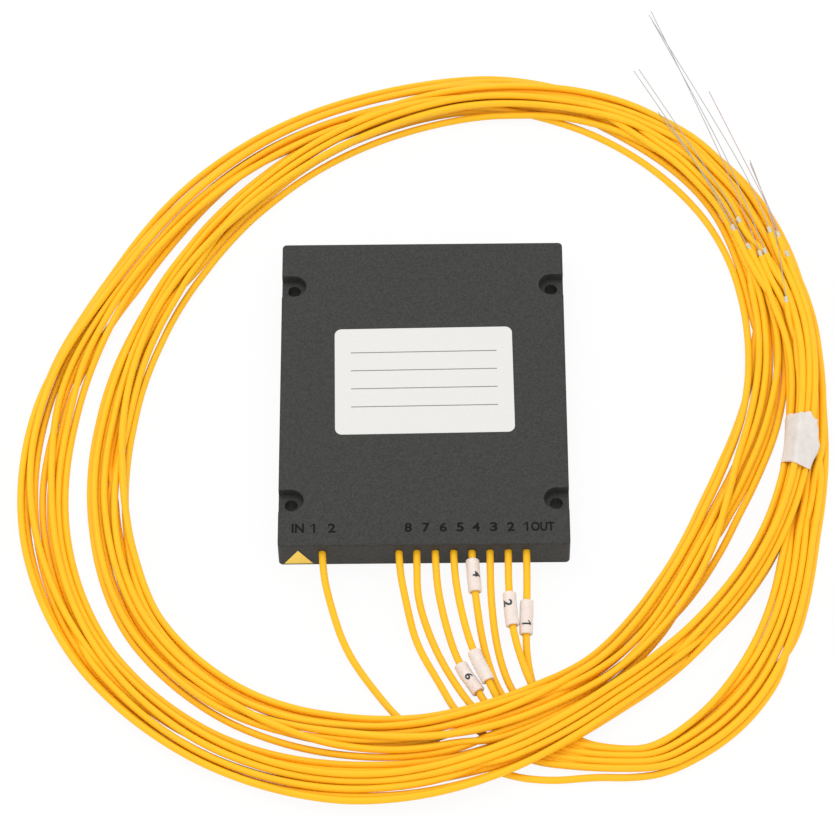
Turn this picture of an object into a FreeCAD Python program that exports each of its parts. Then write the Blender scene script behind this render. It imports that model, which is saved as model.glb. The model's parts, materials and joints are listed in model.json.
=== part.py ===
"""Planar fibre splitter: a flat moulded module with one input and eight output cables.

Frame: origin at the middle of the module's underside, +Z up, the cables leave towards -Y.
All sizes are in millimetres.
"""
import FreeCAD
import Part
import math
import os

from FreeCAD import Vector

# ---------------------------------------------------------------- module box
BOX_WIDTH = 80.0            # along X
BOX_LENGTH = 100.0          # along Y
BOX_HEIGHT = 10.0           # along Z
SIDE_WALL = 1.6
TOP_WALL = 1.5
CORNER_RADIUS = 1.2         # upright outer corners
TOP_EDGE_RADIUS = 0.5       # rounding of the rim of the top face
OVERSHOOT = 1.0             # how far a cutting shape runs past the face it cuts
BASE_THICKNESS = 1.5
BASE_CLEARANCE = 0.15       # between the base plate's edge and the housing wall

# ---------------------------------------------------------------- mounting holes
MOUNT_SPACING_X = 73.0
MOUNT_SPACING_Y = 71.0
MOUNT_HOLE_RADIUS = 1.8
RECESS_RADIUS = 3.5         # U-shaped seat for the screw head, open to the side
RECESS_DEPTH = 2.8
BOSS_WALL = 1.3             # plastic around the screw seat

# ---------------------------------------------------------------- snap tabs
TAB_SPACING = 52.0          # along Y
TAB_WIDTH = 8.0
TAB_THICKNESS = 1.0
TAB_HEIGHT = 4.0            # above the base plate
BARB_REACH = 0.4            # how far the barb stands into its groove
BARB_HEIGHT = 0.9
SNAP_CLEARANCE = 0.15

# ---------------------------------------------------------------- cables
CABLE_DIAMETER = 2.0
CABLE_HEIGHT = 6.2          # centre line of the cable holes above the underside
CABLE_HOLE_CLEARANCE = 0.1  # radial
OUTPUT_COUNT = 8
OUTPUT_PITCH = 5.0
OUTPUT_FIRST_X = 28.0       # output 1; the others follow towards -X
INPUT_X = -28.0
STRAIGHT_OUT = {            # how far each cable runs straight out of the box
    "in": 4.0, "8": 4.0, "7": 4.0, "6": 4.0, "5": 4.0, "4": 1.6, "3": 4.0, "2": 1.6, "1": 1.6,
}
FERRULE_RADIUS = 1.5
FERRULE_LENGTH = 5.0
FERRULE_GAP = 0.1           # between the front wall and the ferrule
FERRULE_FIT = 0.05          # radial, ferrule to cable
RACK_THICKNESS = 3.0        # rib with grooves that carries the ferrules
RACK_SETBACK = 1.0          # from the ferrule's front end
RACK_SIDE_MARGIN = 3.5
RACK_RISE = 0.6             # above the cable centre line
GROOVE_FIT = 0.05

# ---------------------------------------------------------------- splitter unit
UNIT_X = -12.0
UNIT_Y = 8.0
UNIT_LENGTH = 40.0
UNIT_SIDE = 4.0             # square steel tube
UNIT_WALL = 0.4
CHIP_LENGTH = 12.0
INPUT_ARRAY_LENGTH = 6.0
OUTPUT_ARRAY_LENGTH = 8.0
CHIP_WIDTH = 2.4
CHIP_FIT = 0.1              # above and below the chip inside the tube
PLUG_LENGTH = 3.0
PLUG_FIT = 0.02
SADDLE_SPACING = 24.0
SADDLE_WALL = 1.6
SADDLE_THICKNESS = 2.5
SADDLE_FIT = 0.1
SADDLE_RISE = 1.2           # above the unit's centre line

# ---------------------------------------------------------------- fibres and fan-out
FIBRE_RADIUS = 0.125
FIBRE_FIT = 0.05
RIBBON_HEIGHT = 2.1
RIBBON_THICKNESS = 0.3
RIBBON_LEAD = 2.0           # straight ribbon outside the unit before its turn
FAN_OUT_X = 10.5
FAN_OUT_WIDTH = 9.0
FAN_OUT_LENGTH = 10.0
FAN_OUT_HEIGHT = 3.0
FAN_OUT_DROP = 4.0          # straight ribbon between its turn and the fan-out block
FAN_OUT_PITCH = 1.0
PEDESTAL_MARGIN = 0.8

# ---------------------------------------------------------------- labels
LABEL_WIDTH = 50.0
LABEL_LENGTH = 35.0
LABEL_THICKNESS = 0.1
LABEL_RADIUS = 2.0
LABEL_CENTRE = (0.3, 3.4)
LABEL_TURN = 0.6            # degrees, as stuck on by hand
STICKER_SIDE = 7.9
STICKER_THICKNESS = 0.05
STICKER_INSET = 5.5          # from the box's side to the sticker's middle
STICKER_BASE_Z = 0.6

# ---------------------------------------------------------------- cables outside the box
# Points of each cable's loose stretch after its straight exit, down to the coil.
CABLE_ROUTES = {
    "in": ((-25.8, -64.9, 4.9), (-21.6, -77.9, 2.0), (-14.3, -89.3, 1.0), (-5.6, -100.8, 1.0)),
    "8": ((-5.0, -65.0, 4.9), (-2.4, -76.5, 2.0), (3.8, -87.8, 1.0), (8.8, -98.0, 1.0)),
    "7": ((-1.9, -64.4, 4.9), (2.1, -76.5, 2.0), (7.4, -87.1, 1.0), (13.6, -96.8, 1.0)),
    "6": ((4.1, -65.2, 5.0), (8.6, -82.3, 2.2), (15.4, -92.5, 2.0), (18.3, -99.5, 1.4)),
    "5": ((9.4, -65.3, 5.3), (12.6, -79.2, 4.3), (17.7, -90.0, 3.7), (20.6, -96.4, 2.0)),
    "4": ((14.0, -65.0, 5.2), (15.9, -77.8, 2.0), (19.2, -89.4, 1.0), (22.9, -94.9, 1.0)),
    "3": ((18.1, -64.5, 4.9), (19.3, -76.6, 2.0), (22.0, -87.4, 1.0), (25.7, -94.4, 1.0)),
    "2": ((22.9, -60.4, 6.0), (23.7, -73.0, 4.1), (26.6, -84.0, 3.1), (29.1, -90.8, 3.0)),
    "1": ((28.0, -61.6, 5.4), (27.3, -77.0, 2.0), (28.3, -85.4, 1.0), (30.2, -93.4, 1.0)),
}
# Marker sleeves: the run of the cable's route that carries it, and how far along that run.
SLEEVE_PLACES = {"1": (2, 0.5), "2": (2, 0.5), "4": (1, 0.42), "5": (3, 0.52), "6": (3, 0.48)}
SLEEVE_RADIUS = 1.9
SLEEVE_BORE = 1.2
SLEEVE_LENGTH = 9.6

# ---------------------------------------------------------------- coil
COIL_CENTRE = (0.0, -5.0)
COIL_HEIGHT = 5.2
# Edges of the coil as seen from above: compass angle in degrees and distance from its centre.
COIL_OUTSIDE = (
    (-130, 123.5), (-110, 122.8), (-95, 121.0), (-82, 116.5), (-73, 116.5), (-64, 124.5),
    (-52, 130.5), (-40, 125.8), (-28, 118.5), (-14, 113.8), (2, 114.0), (18, 117.0),
    (34, 122.8), (50, 126.2), (66, 125.0), (82, 121.5), (100, 115.0), (118, 110.2),
    (136, 106.6), (150, 103.8), (164, 106.0), (180, 112.0), (196, 117.2), (212, 121.8),
)
COIL_INSIDE = (
    (-130, 96.5), (-108, 97.8), (-90, 93.5), (-72, 89.4), (-52, 84.0), (-32, 81.0),
    (-14, 82.4), (4, 90.0), (22, 98.4), (40, 105.0), (58, 109.2), (72, 109.2),
    (88, 100.4), (104, 93.2), (120, 86.6), (138, 80.6), (158, 78.4), (180, 80.4),
    (200, 86.0), (216, 93.0),
)
# Gaps between the bundles of turns: each is an outer edge and an inner edge over one stretch.
GAP_LEFT = (
    ((118, 98.6), (134, 95.0), (150, 93.0), (166, 94.2), (182, 97.6), (198, 103.8), (214, 109.4),
     (230, 112.8), (246, 112.4)),
    ((246, 109.4), (230, 108.6), (214, 104.4), (198, 97.2), (182, 92.4), (166, 89.6),
     (150, 89.2), (134, 90.8), (118, 97.4)),
)
GAP_OUTER_RIGHT = (
    ((-66, 111.0), (-62, 117.6), (-54, 118.6), (-44, 116.2), (-34, 111.8), (-25, 107.8)),
    ((-25, 107.0), (-34, 106.4), (-44, 106.0), (-54, 106.4), (-62, 107.6), (-66, 109.2)),
)
GAP_INNER_RIGHT = (
    ((-58, 98.4), (-46, 98.0), (-34, 98.8), (-22, 99.8), (-10, 101.2), (-1, 102.0)),
    ((-1, 101.0), (-10, 97.0), (-22, 94.0), (-34, 93.2), (-46, 96.0), (-58, 97.6)),
)

# ---------------------------------------------------------------- tape round the last turn
TAPE_ANGLE = -4.3           # compass angle of its middle
TAPE_CENTRE_RADIUS = 105.8  # distance of the taped bundle from the coil's centre
TAPE_WIDTH = 9.0            # across the bundle
TAPE_LENGTH = 15.5          # along the bundle
TAPE_THICKNESS = 0.3
TAPE_CORNER = 1.5

# ---------------------------------------------------------------- stripped cable ends
BUFFER_RADIUS = 0.55
BUFFER_LENGTH = 3.0
# Where the jacket of each cable ends on the coil, a point half way along its bare fibre,
# and the tip of that fibre; last the rise of the half-way point above the coil.
CABLE_ENDS = {
    "in": ((105.7, 46.5), (100.4, 63.7), (96.6, 80.2), 0.7),
    "1": ((94.8, 49.8), (81.7, 75.5), (70.7, 100.0), 1.8),
    "2": ((89.9, 56.4), (75.8, 87.1), (63.2, 114.8), 0.6),
    "3": ((97.4, 47.1), (82.2, 91.7), (69.9, 133.4), 0.5),
    "4": ((103.5, 31.3), (103.9, 58.5), (97.3, 81.3), 1.5),
    "5": ((91.3, 59.1), (77.0, 88.5), (64.7, 115.3), 0.8),
    "6": ((100.3, 55.1), (83.7, 96.5), (69.1, 137.2), 0.8),
    "7": ((98.9, 48.5), (82.7, 93.5), (68.5, 136.1), 1.6),
    "8": ((102.5, 53.7), (93.2, 81.1), (85.5, 107.0), 0.7),
}
FIBRE_TIP_RISE = 0.4        # tip of a bare fibre above the coil

os.makedirs("parts", exist_ok=True)

FRONT_Y = -BOX_LENGTH / 2
UP = Vector(0, 0, 1)


# ---------------------------------------------------------------- helpers
def export(shape, name):
    """Write one sub-part."""
    if not shape.isValid():
        raise ValueError(name + " is not a valid shape")
    shape.exportStep("parts/" + name + ".step")


def block(x_low, x_high, y_low, y_high, z_low, z_high):
    """Plain block between two corners."""
    return Part.makeBox(x_high - x_low, y_high - y_low, z_high - z_low, Vector(x_low, y_low, z_low))


def centred_block(x, y, width, length, z_low, z_high):
    """Block standing on z_low, centred on a point of the XY plane."""
    return block(x - width / 2, x + width / 2, y - length / 2, y + length / 2, z_low, z_high)


def upright_edges(shape):
    """Edges that run along Z."""
    found = []
    for edge in shape.Edges:
        first, last = edge.Vertexes[0].Point, edge.Vertexes[-1].Point
        if abs(first.x - last.x) < 1e-6 and abs(first.y - last.y) < 1e-6:
            found.append(edge)
    return found


def edges_at_height(shape, height):
    """Edges that lie in the plane at one height."""
    return [
        edge for edge in shape.Edges
        if abs(edge.BoundBox.ZMin - height) < 1e-6 and abs(edge.BoundBox.ZMax - height) < 1e-6
    ]


def rod_along_y(x, z, radius, y_low, y_high):
    """Round bar along Y."""
    return Part.makeCylinder(radius, y_high - y_low, Vector(x, y_low, z), Vector(0, 1, 0))


def cable_positions():
    """X of every cable hole, by cable name."""
    places = {"in": INPUT_X}
    for index in range(OUTPUT_COUNT):
        places[str(index + 1)] = OUTPUT_FIRST_X - index * OUTPUT_PITCH
    return places


def mount_points():
    """Centres of the four mounting holes."""
    return [
        (sign_x * MOUNT_SPACING_X / 2, sign_y * MOUNT_SPACING_Y / 2)
        for sign_x in (-1, 1) for sign_y in (-1, 1)
    ]


def tab_points():
    """Side of the box and Y of each snap tab."""
    return [(side, sign * TAB_SPACING / 2) for side in (-1, 1) for sign in (-1, 1)]


def rounded_wire(points):
    """Straight runs joined by tangent arcs that are as large as their runs allow."""
    edges = []
    radii = []
    start = points[0]
    for index in range(1, len(points) - 1):
        corner = points[index]
        before = points[index - 1] - corner
        after = points[index + 1] - corner
        turn = math.pi - before.getAngle(after)
        if turn < 1e-4:
            continue
        trim = 0.45 * min(before.Length, after.Length)
        radius = trim / math.tan(turn / 2)
        inward = before.normalize() + after.normalize()
        first = corner + before * trim
        last = corner + after * trim
        middle = corner + inward.normalize() * (radius / math.cos(turn / 2) - radius)
        edges.append(Part.LineSegment(start, first).toShape())
        edges.append(Part.Arc(first, middle, last).toShape())
        radii.append(radius)
        start = last
    edges.append(Part.LineSegment(start, points[-1]).toShape())
    return Part.Wire(edges), radii


def round_sweep(wire, radius):
    """Round section carried along a wire."""
    start = wire.Vertexes[0].Point
    heading = wire.Edges[0].tangentAt(wire.Edges[0].FirstParameter)
    section = Part.Wire(Part.makeCircle(radius, start, heading))
    return wire.makePipeShell([section], True, True)


def s_bend(start, finish):
    """Two equal arcs that leave one point along -Y and reach the other along -Y."""
    across = finish.x - start.x
    along = abs(finish.y - start.y)
    middle = (start + finish) * 0.5
    if abs(across) < 1e-6:
        return Part.Wire([Part.LineSegment(start, finish).toShape()])
    radius = (across * across + along * along) / (4 * abs(across))
    half_turn = math.asin(along / 2 / radius) / 2
    side = 1 if across > 0 else -1
    bow_x = side * radius * (1 - math.cos(half_turn))
    bow_y = radius * math.sin(half_turn)
    first = Vector(start.x + bow_x, start.y - bow_y, start.z)
    second = Vector(finish.x - bow_x, finish.y + bow_y, finish.z)
    return Part.Wire([
        Part.Arc(start, first, middle).toShape(),
        Part.Arc(middle, second, finish).toShape(),
    ])


# ---------------------------------------------------------------- housing
def screw_seat(x, y, radius, z_low, z_high):
    """U-shaped column around a mounting hole, open towards the nearer side of the box."""
    side = 1 if x > 0 else -1
    column = Part.makeCylinder(radius, z_high - z_low, Vector(x, y, z_low))
    outer_x = side * BOX_WIDTH / 2
    arm = block(min(x, outer_x), max(x, outer_x), y - radius, y + radius, z_low, z_high)
    return column.fuse(arm)


def make_housing():
    """Deep shell with the top face, four walls, screw seats and cable holes."""
    outer = centred_block(0, 0, BOX_WIDTH, BOX_LENGTH, 0, BOX_HEIGHT)
    outer = outer.makeFillet(CORNER_RADIUS, upright_edges(outer))
    outer = outer.makeFillet(TOP_EDGE_RADIUS, edges_at_height(outer, BOX_HEIGHT))
    cavity = centred_block(
        0, 0, BOX_WIDTH - 2 * SIDE_WALL, BOX_LENGTH - 2 * SIDE_WALL, 0, BOX_HEIGHT - TOP_WALL)
    shell = outer.cut(cavity)
    for x, y in mount_points():
        boss = screw_seat(x, y, RECESS_RADIUS + BOSS_WALL, BASE_THICKNESS, BOX_HEIGHT)
        shell = shell.fuse(boss.common(outer))
    for x, y in mount_points():
        shell = shell.cut(screw_seat(x, y, RECESS_RADIUS, BOX_HEIGHT - RECESS_DEPTH, BOX_HEIGHT + OVERSHOOT))
        shell = shell.cut(Part.makeCylinder(MOUNT_HOLE_RADIUS, BOX_HEIGHT, Vector(x, y, 0)))
    hole_radius = CABLE_DIAMETER / 2 + CABLE_HOLE_CLEARANCE
    for x in cable_positions().values():
        shell = shell.cut(
            rod_along_y(x, CABLE_HEIGHT, hole_radius, FRONT_Y - OVERSHOOT,
                         FRONT_Y + SIDE_WALL + OVERSHOOT))
    for side, y in tab_points():
        wall_x = side * (BOX_WIDTH / 2 - SIDE_WALL)
        depth = side * (BARB_REACH + SNAP_CLEARANCE - BASE_CLEARANCE + 0.1)
        low = BASE_THICKNESS + TAB_HEIGHT - BARB_HEIGHT - SNAP_CLEARANCE
        high = BASE_THICKNESS + TAB_HEIGHT + SNAP_CLEARANCE
        half = TAB_WIDTH / 2 + SNAP_CLEARANCE
        shell = shell.cut(block(
            min(wall_x, wall_x + depth), max(wall_x, wall_x + depth), y - half, y + half, low, high))
    return shell.removeSplitter()


# ---------------------------------------------------------------- base plate
def snap_tab(side, y):
    """Upright tab with a wedge-shaped barb that clicks into the housing wall."""
    edge_x = BOX_WIDTH / 2 - SIDE_WALL - BASE_CLEARANCE
    root = BASE_THICKNESS
    top = BASE_THICKNESS + TAB_HEIGHT
    outline = [
        Vector(edge_x - TAB_THICKNESS, y - TAB_WIDTH / 2, root),
        Vector(edge_x, y - TAB_WIDTH / 2, root),
        Vector(edge_x, y - TAB_WIDTH / 2, top - BARB_HEIGHT),
        Vector(edge_x + BARB_REACH, y - TAB_WIDTH / 2, top - BARB_HEIGHT),
        Vector(edge_x, y - TAB_WIDTH / 2, top),
        Vector(edge_x - TAB_THICKNESS, y - TAB_WIDTH / 2, top),
    ]
    face = Part.Face(Part.makePolygon(outline + outline[:1]))
    tab = face.extrude(Vector(0, TAB_WIDTH, 0))
    if side < 0:
        tab = tab.mirror(Vector(0, 0, 0), Vector(1, 0, 0))
    return tab


def ferrule_span():
    """Front and rear Y of the ferrules."""
    front = FRONT_Y + SIDE_WALL + FERRULE_GAP
    return front, front + FERRULE_LENGTH


def ferrule_rack():
    """Rib across the front with one U-shaped groove for each ferrule."""
    places = cable_positions().values()
    front = ferrule_span()[0] + RACK_SETBACK
    rear = front + RACK_THICKNESS
    rack = block(
        min(places) - RACK_SIDE_MARGIN, max(places) + RACK_SIDE_MARGIN, front, rear,
        BASE_THICKNESS, CABLE_HEIGHT + RACK_RISE)
    groove = FERRULE_RADIUS + GROOVE_FIT
    for x in places:
        rack = rack.cut(rod_along_y(x, CABLE_HEIGHT, groove, front - OVERSHOOT, rear + OVERSHOOT))
        rack = rack.cut(block(
            x - groove, x + groove, front - OVERSHOOT, rear + OVERSHOOT, CABLE_HEIGHT, BOX_HEIGHT))
    return rack


def unit_saddle(y):
    """Fork that holds the splitter unit off the base plate."""
    bottom = CABLE_HEIGHT - UNIT_SIDE / 2
    slot = UNIT_SIDE + 2 * SADDLE_FIT
    fork = centred_block(
        UNIT_X, y, slot + 2 * SADDLE_WALL, SADDLE_THICKNESS, BASE_THICKNESS,
        CABLE_HEIGHT + SADDLE_RISE)
    return fork.cut(centred_block(UNIT_X, y, slot, SADDLE_THICKNESS + 2 * OVERSHOOT, bottom, BOX_HEIGHT))


def fan_out_span():
    """Front and rear Y of the fan-out block."""
    rear = UNIT_Y + UNIT_LENGTH / 2 + RIBBON_LEAD - FAN_OUT_DROP
    return rear - FAN_OUT_LENGTH, rear


def make_base_plate():
    """Plate that closes the housing from below and carries the inner pieces."""
    inset = SIDE_WALL + BASE_CLEARANCE
    plate = centred_block(0, 0, BOX_WIDTH - 2 * inset, BOX_LENGTH - 2 * inset, 0, BASE_THICKNESS)
    plate = plate.fuse([snap_tab(side, y) for side, y in tab_points()])
    plate = plate.fuse(ferrule_rack())
    plate = plate.fuse([unit_saddle(UNIT_Y + sign * SADDLE_SPACING / 2) for sign in (-1, 1)])
    front, rear = fan_out_span()
    pedestal = centred_block(
        FAN_OUT_X, (front + rear) / 2, FAN_OUT_WIDTH - 2 * PEDESTAL_MARGIN,
        FAN_OUT_LENGTH - 2 * PEDESTAL_MARGIN, BASE_THICKNESS, CABLE_HEIGHT - FAN_OUT_HEIGHT / 2)
    plate = plate.fuse(pedestal)
    for x, y in mount_points():
        plate = plate.cut(Part.makeCylinder(MOUNT_HOLE_RADIUS, BASE_THICKNESS, Vector(x, y, 0)))
    return plate.removeSplitter()


# ---------------------------------------------------------------- splitter unit
def unit_ends():
    """Y of the unit's input end and output end."""
    return UNIT_Y - UNIT_LENGTH / 2, UNIT_Y + UNIT_LENGTH / 2


def chip_span():
    """Y of the glass stack: input array, chip, output array."""
    total = INPUT_ARRAY_LENGTH + CHIP_LENGTH + OUTPUT_ARRAY_LENGTH
    start = UNIT_Y - total / 2
    return start, start + INPUT_ARRAY_LENGTH, start + INPUT_ARRAY_LENGTH + CHIP_LENGTH, start + total


def make_unit_tube():
    """Square steel tube around the glass stack."""
    half = UNIT_SIDE / 2
    outer = centred_block(
        UNIT_X, UNIT_Y, UNIT_SIDE, UNIT_LENGTH, CABLE_HEIGHT - half, CABLE_HEIGHT + half)
    along = [edge for edge in outer.Edges if abs(edge.tangentAt(edge.FirstParameter).y) > 0.99]
    outer = outer.makeFillet(UNIT_WALL, along)
    bore = UNIT_SIDE - 2 * UNIT_WALL
    return outer.cut(centred_block(
        UNIT_X, UNIT_Y, bore, UNIT_LENGTH + 2 * OVERSHOOT, CABLE_HEIGHT - bore / 2, CABLE_HEIGHT + bore / 2))


def glass_block(y_low, y_high):
    """One block of the glass stack."""
    half = (UNIT_SIDE - 2 * UNIT_WALL) / 2 - CHIP_FIT
    return block(
        UNIT_X - CHIP_WIDTH / 2, UNIT_X + CHIP_WIDTH / 2, y_low, y_high,
        CABLE_HEIGHT - half, CABLE_HEIGHT + half)


def end_plug(y_low):
    """Soft plug in one end of the tube, before its fibre passage is cut."""
    bore = UNIT_SIDE - 2 * UNIT_WALL - 2 * PLUG_FIT
    return centred_block(
        UNIT_X, y_low + PLUG_LENGTH / 2, bore, PLUG_LENGTH,
        CABLE_HEIGHT - bore / 2, CABLE_HEIGHT + bore / 2)


def make_input_plug():
    """Plug at the input end, pierced for one fibre."""
    start = unit_ends()[0]
    hole = rod_along_y(
        UNIT_X, CABLE_HEIGHT, FIBRE_RADIUS + FIBRE_FIT, start - OVERSHOOT,
        start + PLUG_LENGTH + OVERSHOOT)
    return end_plug(start).cut(hole)


def make_output_plug():
    """Plug at the output end, slotted for the ribbon."""
    start = unit_ends()[1] - PLUG_LENGTH
    half = RIBBON_HEIGHT / 2 + FIBRE_FIT
    slot = centred_block(
        UNIT_X, start + PLUG_LENGTH / 2, RIBBON_THICKNESS + 2 * FIBRE_FIT, PLUG_LENGTH + 2 * OVERSHOOT,
        CABLE_HEIGHT - half, CABLE_HEIGHT + half)
    return end_plug(start).cut(slot)


# ---------------------------------------------------------------- fibres inside the box
def make_input_fibre():
    """Fibre from the input cable to the glass stack."""
    rear = ferrule_span()[1]
    lead = Vector(UNIT_X, chip_span()[0], CABLE_HEIGHT)
    bend_start = Vector(UNIT_X, unit_ends()[0], CABLE_HEIGHT)
    bend = s_bend(bend_start, Vector(INPUT_X, rear, CABLE_HEIGHT))
    wire = Part.Wire([Part.LineSegment(lead, bend_start).toShape()] + bend.Edges)
    return round_sweep(wire, FIBRE_RADIUS)


def make_ribbon():
    """Eight-fibre ribbon on edge: out of the unit, half a turn, into the fan-out block."""
    turn_y = unit_ends()[1] + RIBBON_LEAD
    low = CABLE_HEIGHT - RIBBON_HEIGHT / 2
    high = CABLE_HEIGHT + RIBBON_HEIGHT / 2
    half = RIBBON_THICKNESS / 2
    first = block(UNIT_X - half, UNIT_X + half, chip_span()[3], turn_y, low, high)
    last = block(FAN_OUT_X - half, FAN_OUT_X + half, fan_out_span()[1], turn_y, low, high)
    centre = Vector((UNIT_X + FAN_OUT_X) / 2, turn_y, low)
    radius = abs(FAN_OUT_X - UNIT_X) / 2
    bend = Part.makeCylinder(radius + half, RIBBON_HEIGHT, centre, UP, 180)
    bend = bend.cut(Part.makeCylinder(radius - half, RIBBON_HEIGHT, centre, UP, 180))
    return first.fuse([bend, last]).removeSplitter()


def make_fan_out_block():
    """Block in which the ribbon splits into single fibres."""
    front, rear = fan_out_span()
    body = centred_block(
        FAN_OUT_X, (front + rear) / 2, FAN_OUT_WIDTH, FAN_OUT_LENGTH,
        CABLE_HEIGHT - FAN_OUT_HEIGHT / 2, CABLE_HEIGHT + FAN_OUT_HEIGHT / 2)
    return body.makeFillet(0.6, upright_edges(body))


def make_output_fibre(index):
    """Single fibre from the fan-out block to one output cable."""
    offset = ((OUTPUT_COUNT - 1) / 2 - index) * FAN_OUT_PITCH
    start = Vector(FAN_OUT_X + offset, fan_out_span()[0], CABLE_HEIGHT)
    finish = Vector(cable_positions()[str(index + 1)], ferrule_span()[1], CABLE_HEIGHT)
    return round_sweep(s_bend(start, finish), FIBRE_RADIUS)


def make_ferrules():
    """Crimped ferrules that stop the cables from being pulled out, one on each cable."""
    front, rear = ferrule_span()
    rings = []
    for x in cable_positions().values():
        ring = rod_along_y(x, CABLE_HEIGHT, FERRULE_RADIUS, front, rear)
        bore = CABLE_DIAMETER / 2 + FERRULE_FIT
        rings.append(ring.cut(rod_along_y(x, CABLE_HEIGHT, bore, front - OVERSHOOT,
                                          rear + OVERSHOOT)))
    return Part.makeCompound(rings)


# ---------------------------------------------------------------- labels
def make_label():
    """White label on the top face."""
    sheet = centred_block(0, 0, LABEL_WIDTH, LABEL_LENGTH, BOX_HEIGHT, BOX_HEIGHT + LABEL_THICKNESS)
    sheet = sheet.makeFillet(LABEL_RADIUS, upright_edges(sheet))
    sheet.rotate(Vector(0, 0, 0), UP, LABEL_TURN)
    sheet.translate(Vector(LABEL_CENTRE[0], LABEL_CENTRE[1], 0))
    return sheet


def make_sticker():
    """Plain triangular sticker on the front face."""
    rise = STICKER_SIDE * math.sqrt(3) / 2
    middle_x = STICKER_INSET - BOX_WIDTH / 2
    corners = [
        Vector(middle_x - STICKER_SIDE / 2, FRONT_Y, STICKER_BASE_Z),
        Vector(middle_x + STICKER_SIDE / 2, FRONT_Y, STICKER_BASE_Z),
        Vector(middle_x, FRONT_Y, STICKER_BASE_Z + rise),
    ]
    face = Part.Face(Part.makePolygon(corners + corners[:1]))
    return face.extrude(Vector(0, -STICKER_THICKNESS, 0))


# ---------------------------------------------------------------- coil
def coil_point(angle, radius, height=0.0):
    """Point of the coil from its compass angle and distance."""
    turn = math.radians(angle)
    return Vector(
        COIL_CENTRE[0] + radius * math.cos(turn), COIL_CENTRE[1] + radius * math.sin(turn), height)


def closed_outline(stations):
    """Smooth closed wire through the stations of one edge."""
    curve = Part.BSplineCurve()
    curve.interpolate(Points=[coil_point(*station) for station in stations], PeriodicFlag=True)
    return Part.Wire([curve.toShape()])


def gap_outline(edges):
    """Closed wire of a gap: two smooth edges with short straight ends."""
    curves = []
    for stations in edges:
        curve = Part.BSplineCurve()
        curve.interpolate(Points=[coil_point(*station) for station in stations])
        curves.append(curve.toShape())
    outer, inner = curves
    ends = [
        Part.LineSegment(coil_point(*edges[0][-1]), coil_point(*edges[1][0])).toShape(),
        Part.LineSegment(coil_point(*edges[1][-1]), coil_point(*edges[0][0])).toShape(),
    ]
    return Part.Wire([outer, ends[0], inner, ends[1]])


def make_plain_coil():
    """Outer shape of the wound cables, with the gaps between their bundles."""
    outer = Part.Face(closed_outline(COIL_OUTSIDE)).extrude(UP * COIL_HEIGHT)
    inner = Part.Face(closed_outline(COIL_INSIDE)).extrude(UP * COIL_HEIGHT)
    coil = outer.cut(inner)
    for gap in (GAP_LEFT, GAP_OUTER_RIGHT, GAP_INNER_RIGHT):
        coil = coil.cut(Part.Face(gap_outline(gap)).extrude(UP * COIL_HEIGHT))
    return coil


def make_tape():
    """Strip of tape wound once round the last bundle of turns."""
    half_width = TAPE_WIDTH / 2
    height = COIL_HEIGHT + TAPE_THICKNESS
    outer = block(-half_width, half_width, -TAPE_LENGTH / 2, TAPE_LENGTH / 2, 0, height)
    along = [edge for edge in outer.Edges if abs(edge.tangentAt(edge.FirstParameter).y) > 0.99]
    outer = outer.makeFillet(TAPE_CORNER, along)
    inner = block(
        -half_width + TAPE_THICKNESS, half_width - TAPE_THICKNESS,
        -TAPE_LENGTH / 2 - OVERSHOOT, TAPE_LENGTH / 2 + OVERSHOOT, TAPE_THICKNESS, height - TAPE_THICKNESS)
    along = [edge for edge in inner.Edges if abs(edge.tangentAt(edge.FirstParameter).y) > 0.99]
    inner = inner.makeFillet(TAPE_CORNER - TAPE_THICKNESS, along)
    tape = outer.cut(inner)
    tape.rotate(Vector(0, 0, 0), UP, TAPE_ANGLE)
    tape.translate(coil_point(TAPE_ANGLE, TAPE_CENTRE_RADIUS))
    return tape


# ---------------------------------------------------------------- loose cables and their ends
def cable_route(name):
    """All points of a cable's loose stretch, from the rear of its ferrule to the coil."""
    x = cable_positions()[name]
    exit_point = Vector(x, FRONT_Y - STRAIGHT_OUT[name], CABLE_HEIGHT)
    start = Vector(x, ferrule_span()[1], CABLE_HEIGHT)
    return [start, exit_point] + [Vector(*point) for point in CABLE_ROUTES[name]]


def make_cable(name, coil):
    """Loose stretch of one cable, trimmed where it meets the coil."""
    wire, radii = rounded_wire(cable_route(name))
    tube = round_sweep(wire, CABLE_DIAMETER / 2)
    expected = math.pi * (CABLE_DIAMETER / 2) ** 2 * wire.Length
    print("cable", name, "radii", [round(radius, 1) for radius in radii],
          "length", round(wire.Length, 1), "volume ratio", round(tube.Volume / expected, 4))
    pieces = tube.cut(coil).Solids
    return max(pieces, key=lambda piece: -piece.distToShape(Part.Vertex(cable_route(name)[0]))[0])


def make_sleeve(name):
    """Marker sleeve that slides on one cable, centred on the cable's curve."""
    route = cable_route(name)
    run, share = SLEEVE_PLACES[name]
    wire, radii = rounded_wire(route)
    points = wire.discretize(Distance=0.2)
    aim = route[run] + (route[run + 1] - route[run]) * share
    nearest = min(range(len(points)), key=lambda index: (points[index] - aim).Length)
    reach = int(round(SLEEVE_LENGTH / 2 / 0.2))
    first, last = points[nearest - reach], points[nearest + reach]
    middle = (first + last) * 0.25 + points[nearest] * 0.5
    heading = (last - first).normalize()
    start = middle - heading * (SLEEVE_LENGTH / 2)
    outer = Part.makeCylinder(SLEEVE_RADIUS, SLEEVE_LENGTH, start, heading)
    return outer.cut(Part.makeCylinder(SLEEVE_BORE, SLEEVE_LENGTH, start, heading))


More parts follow.
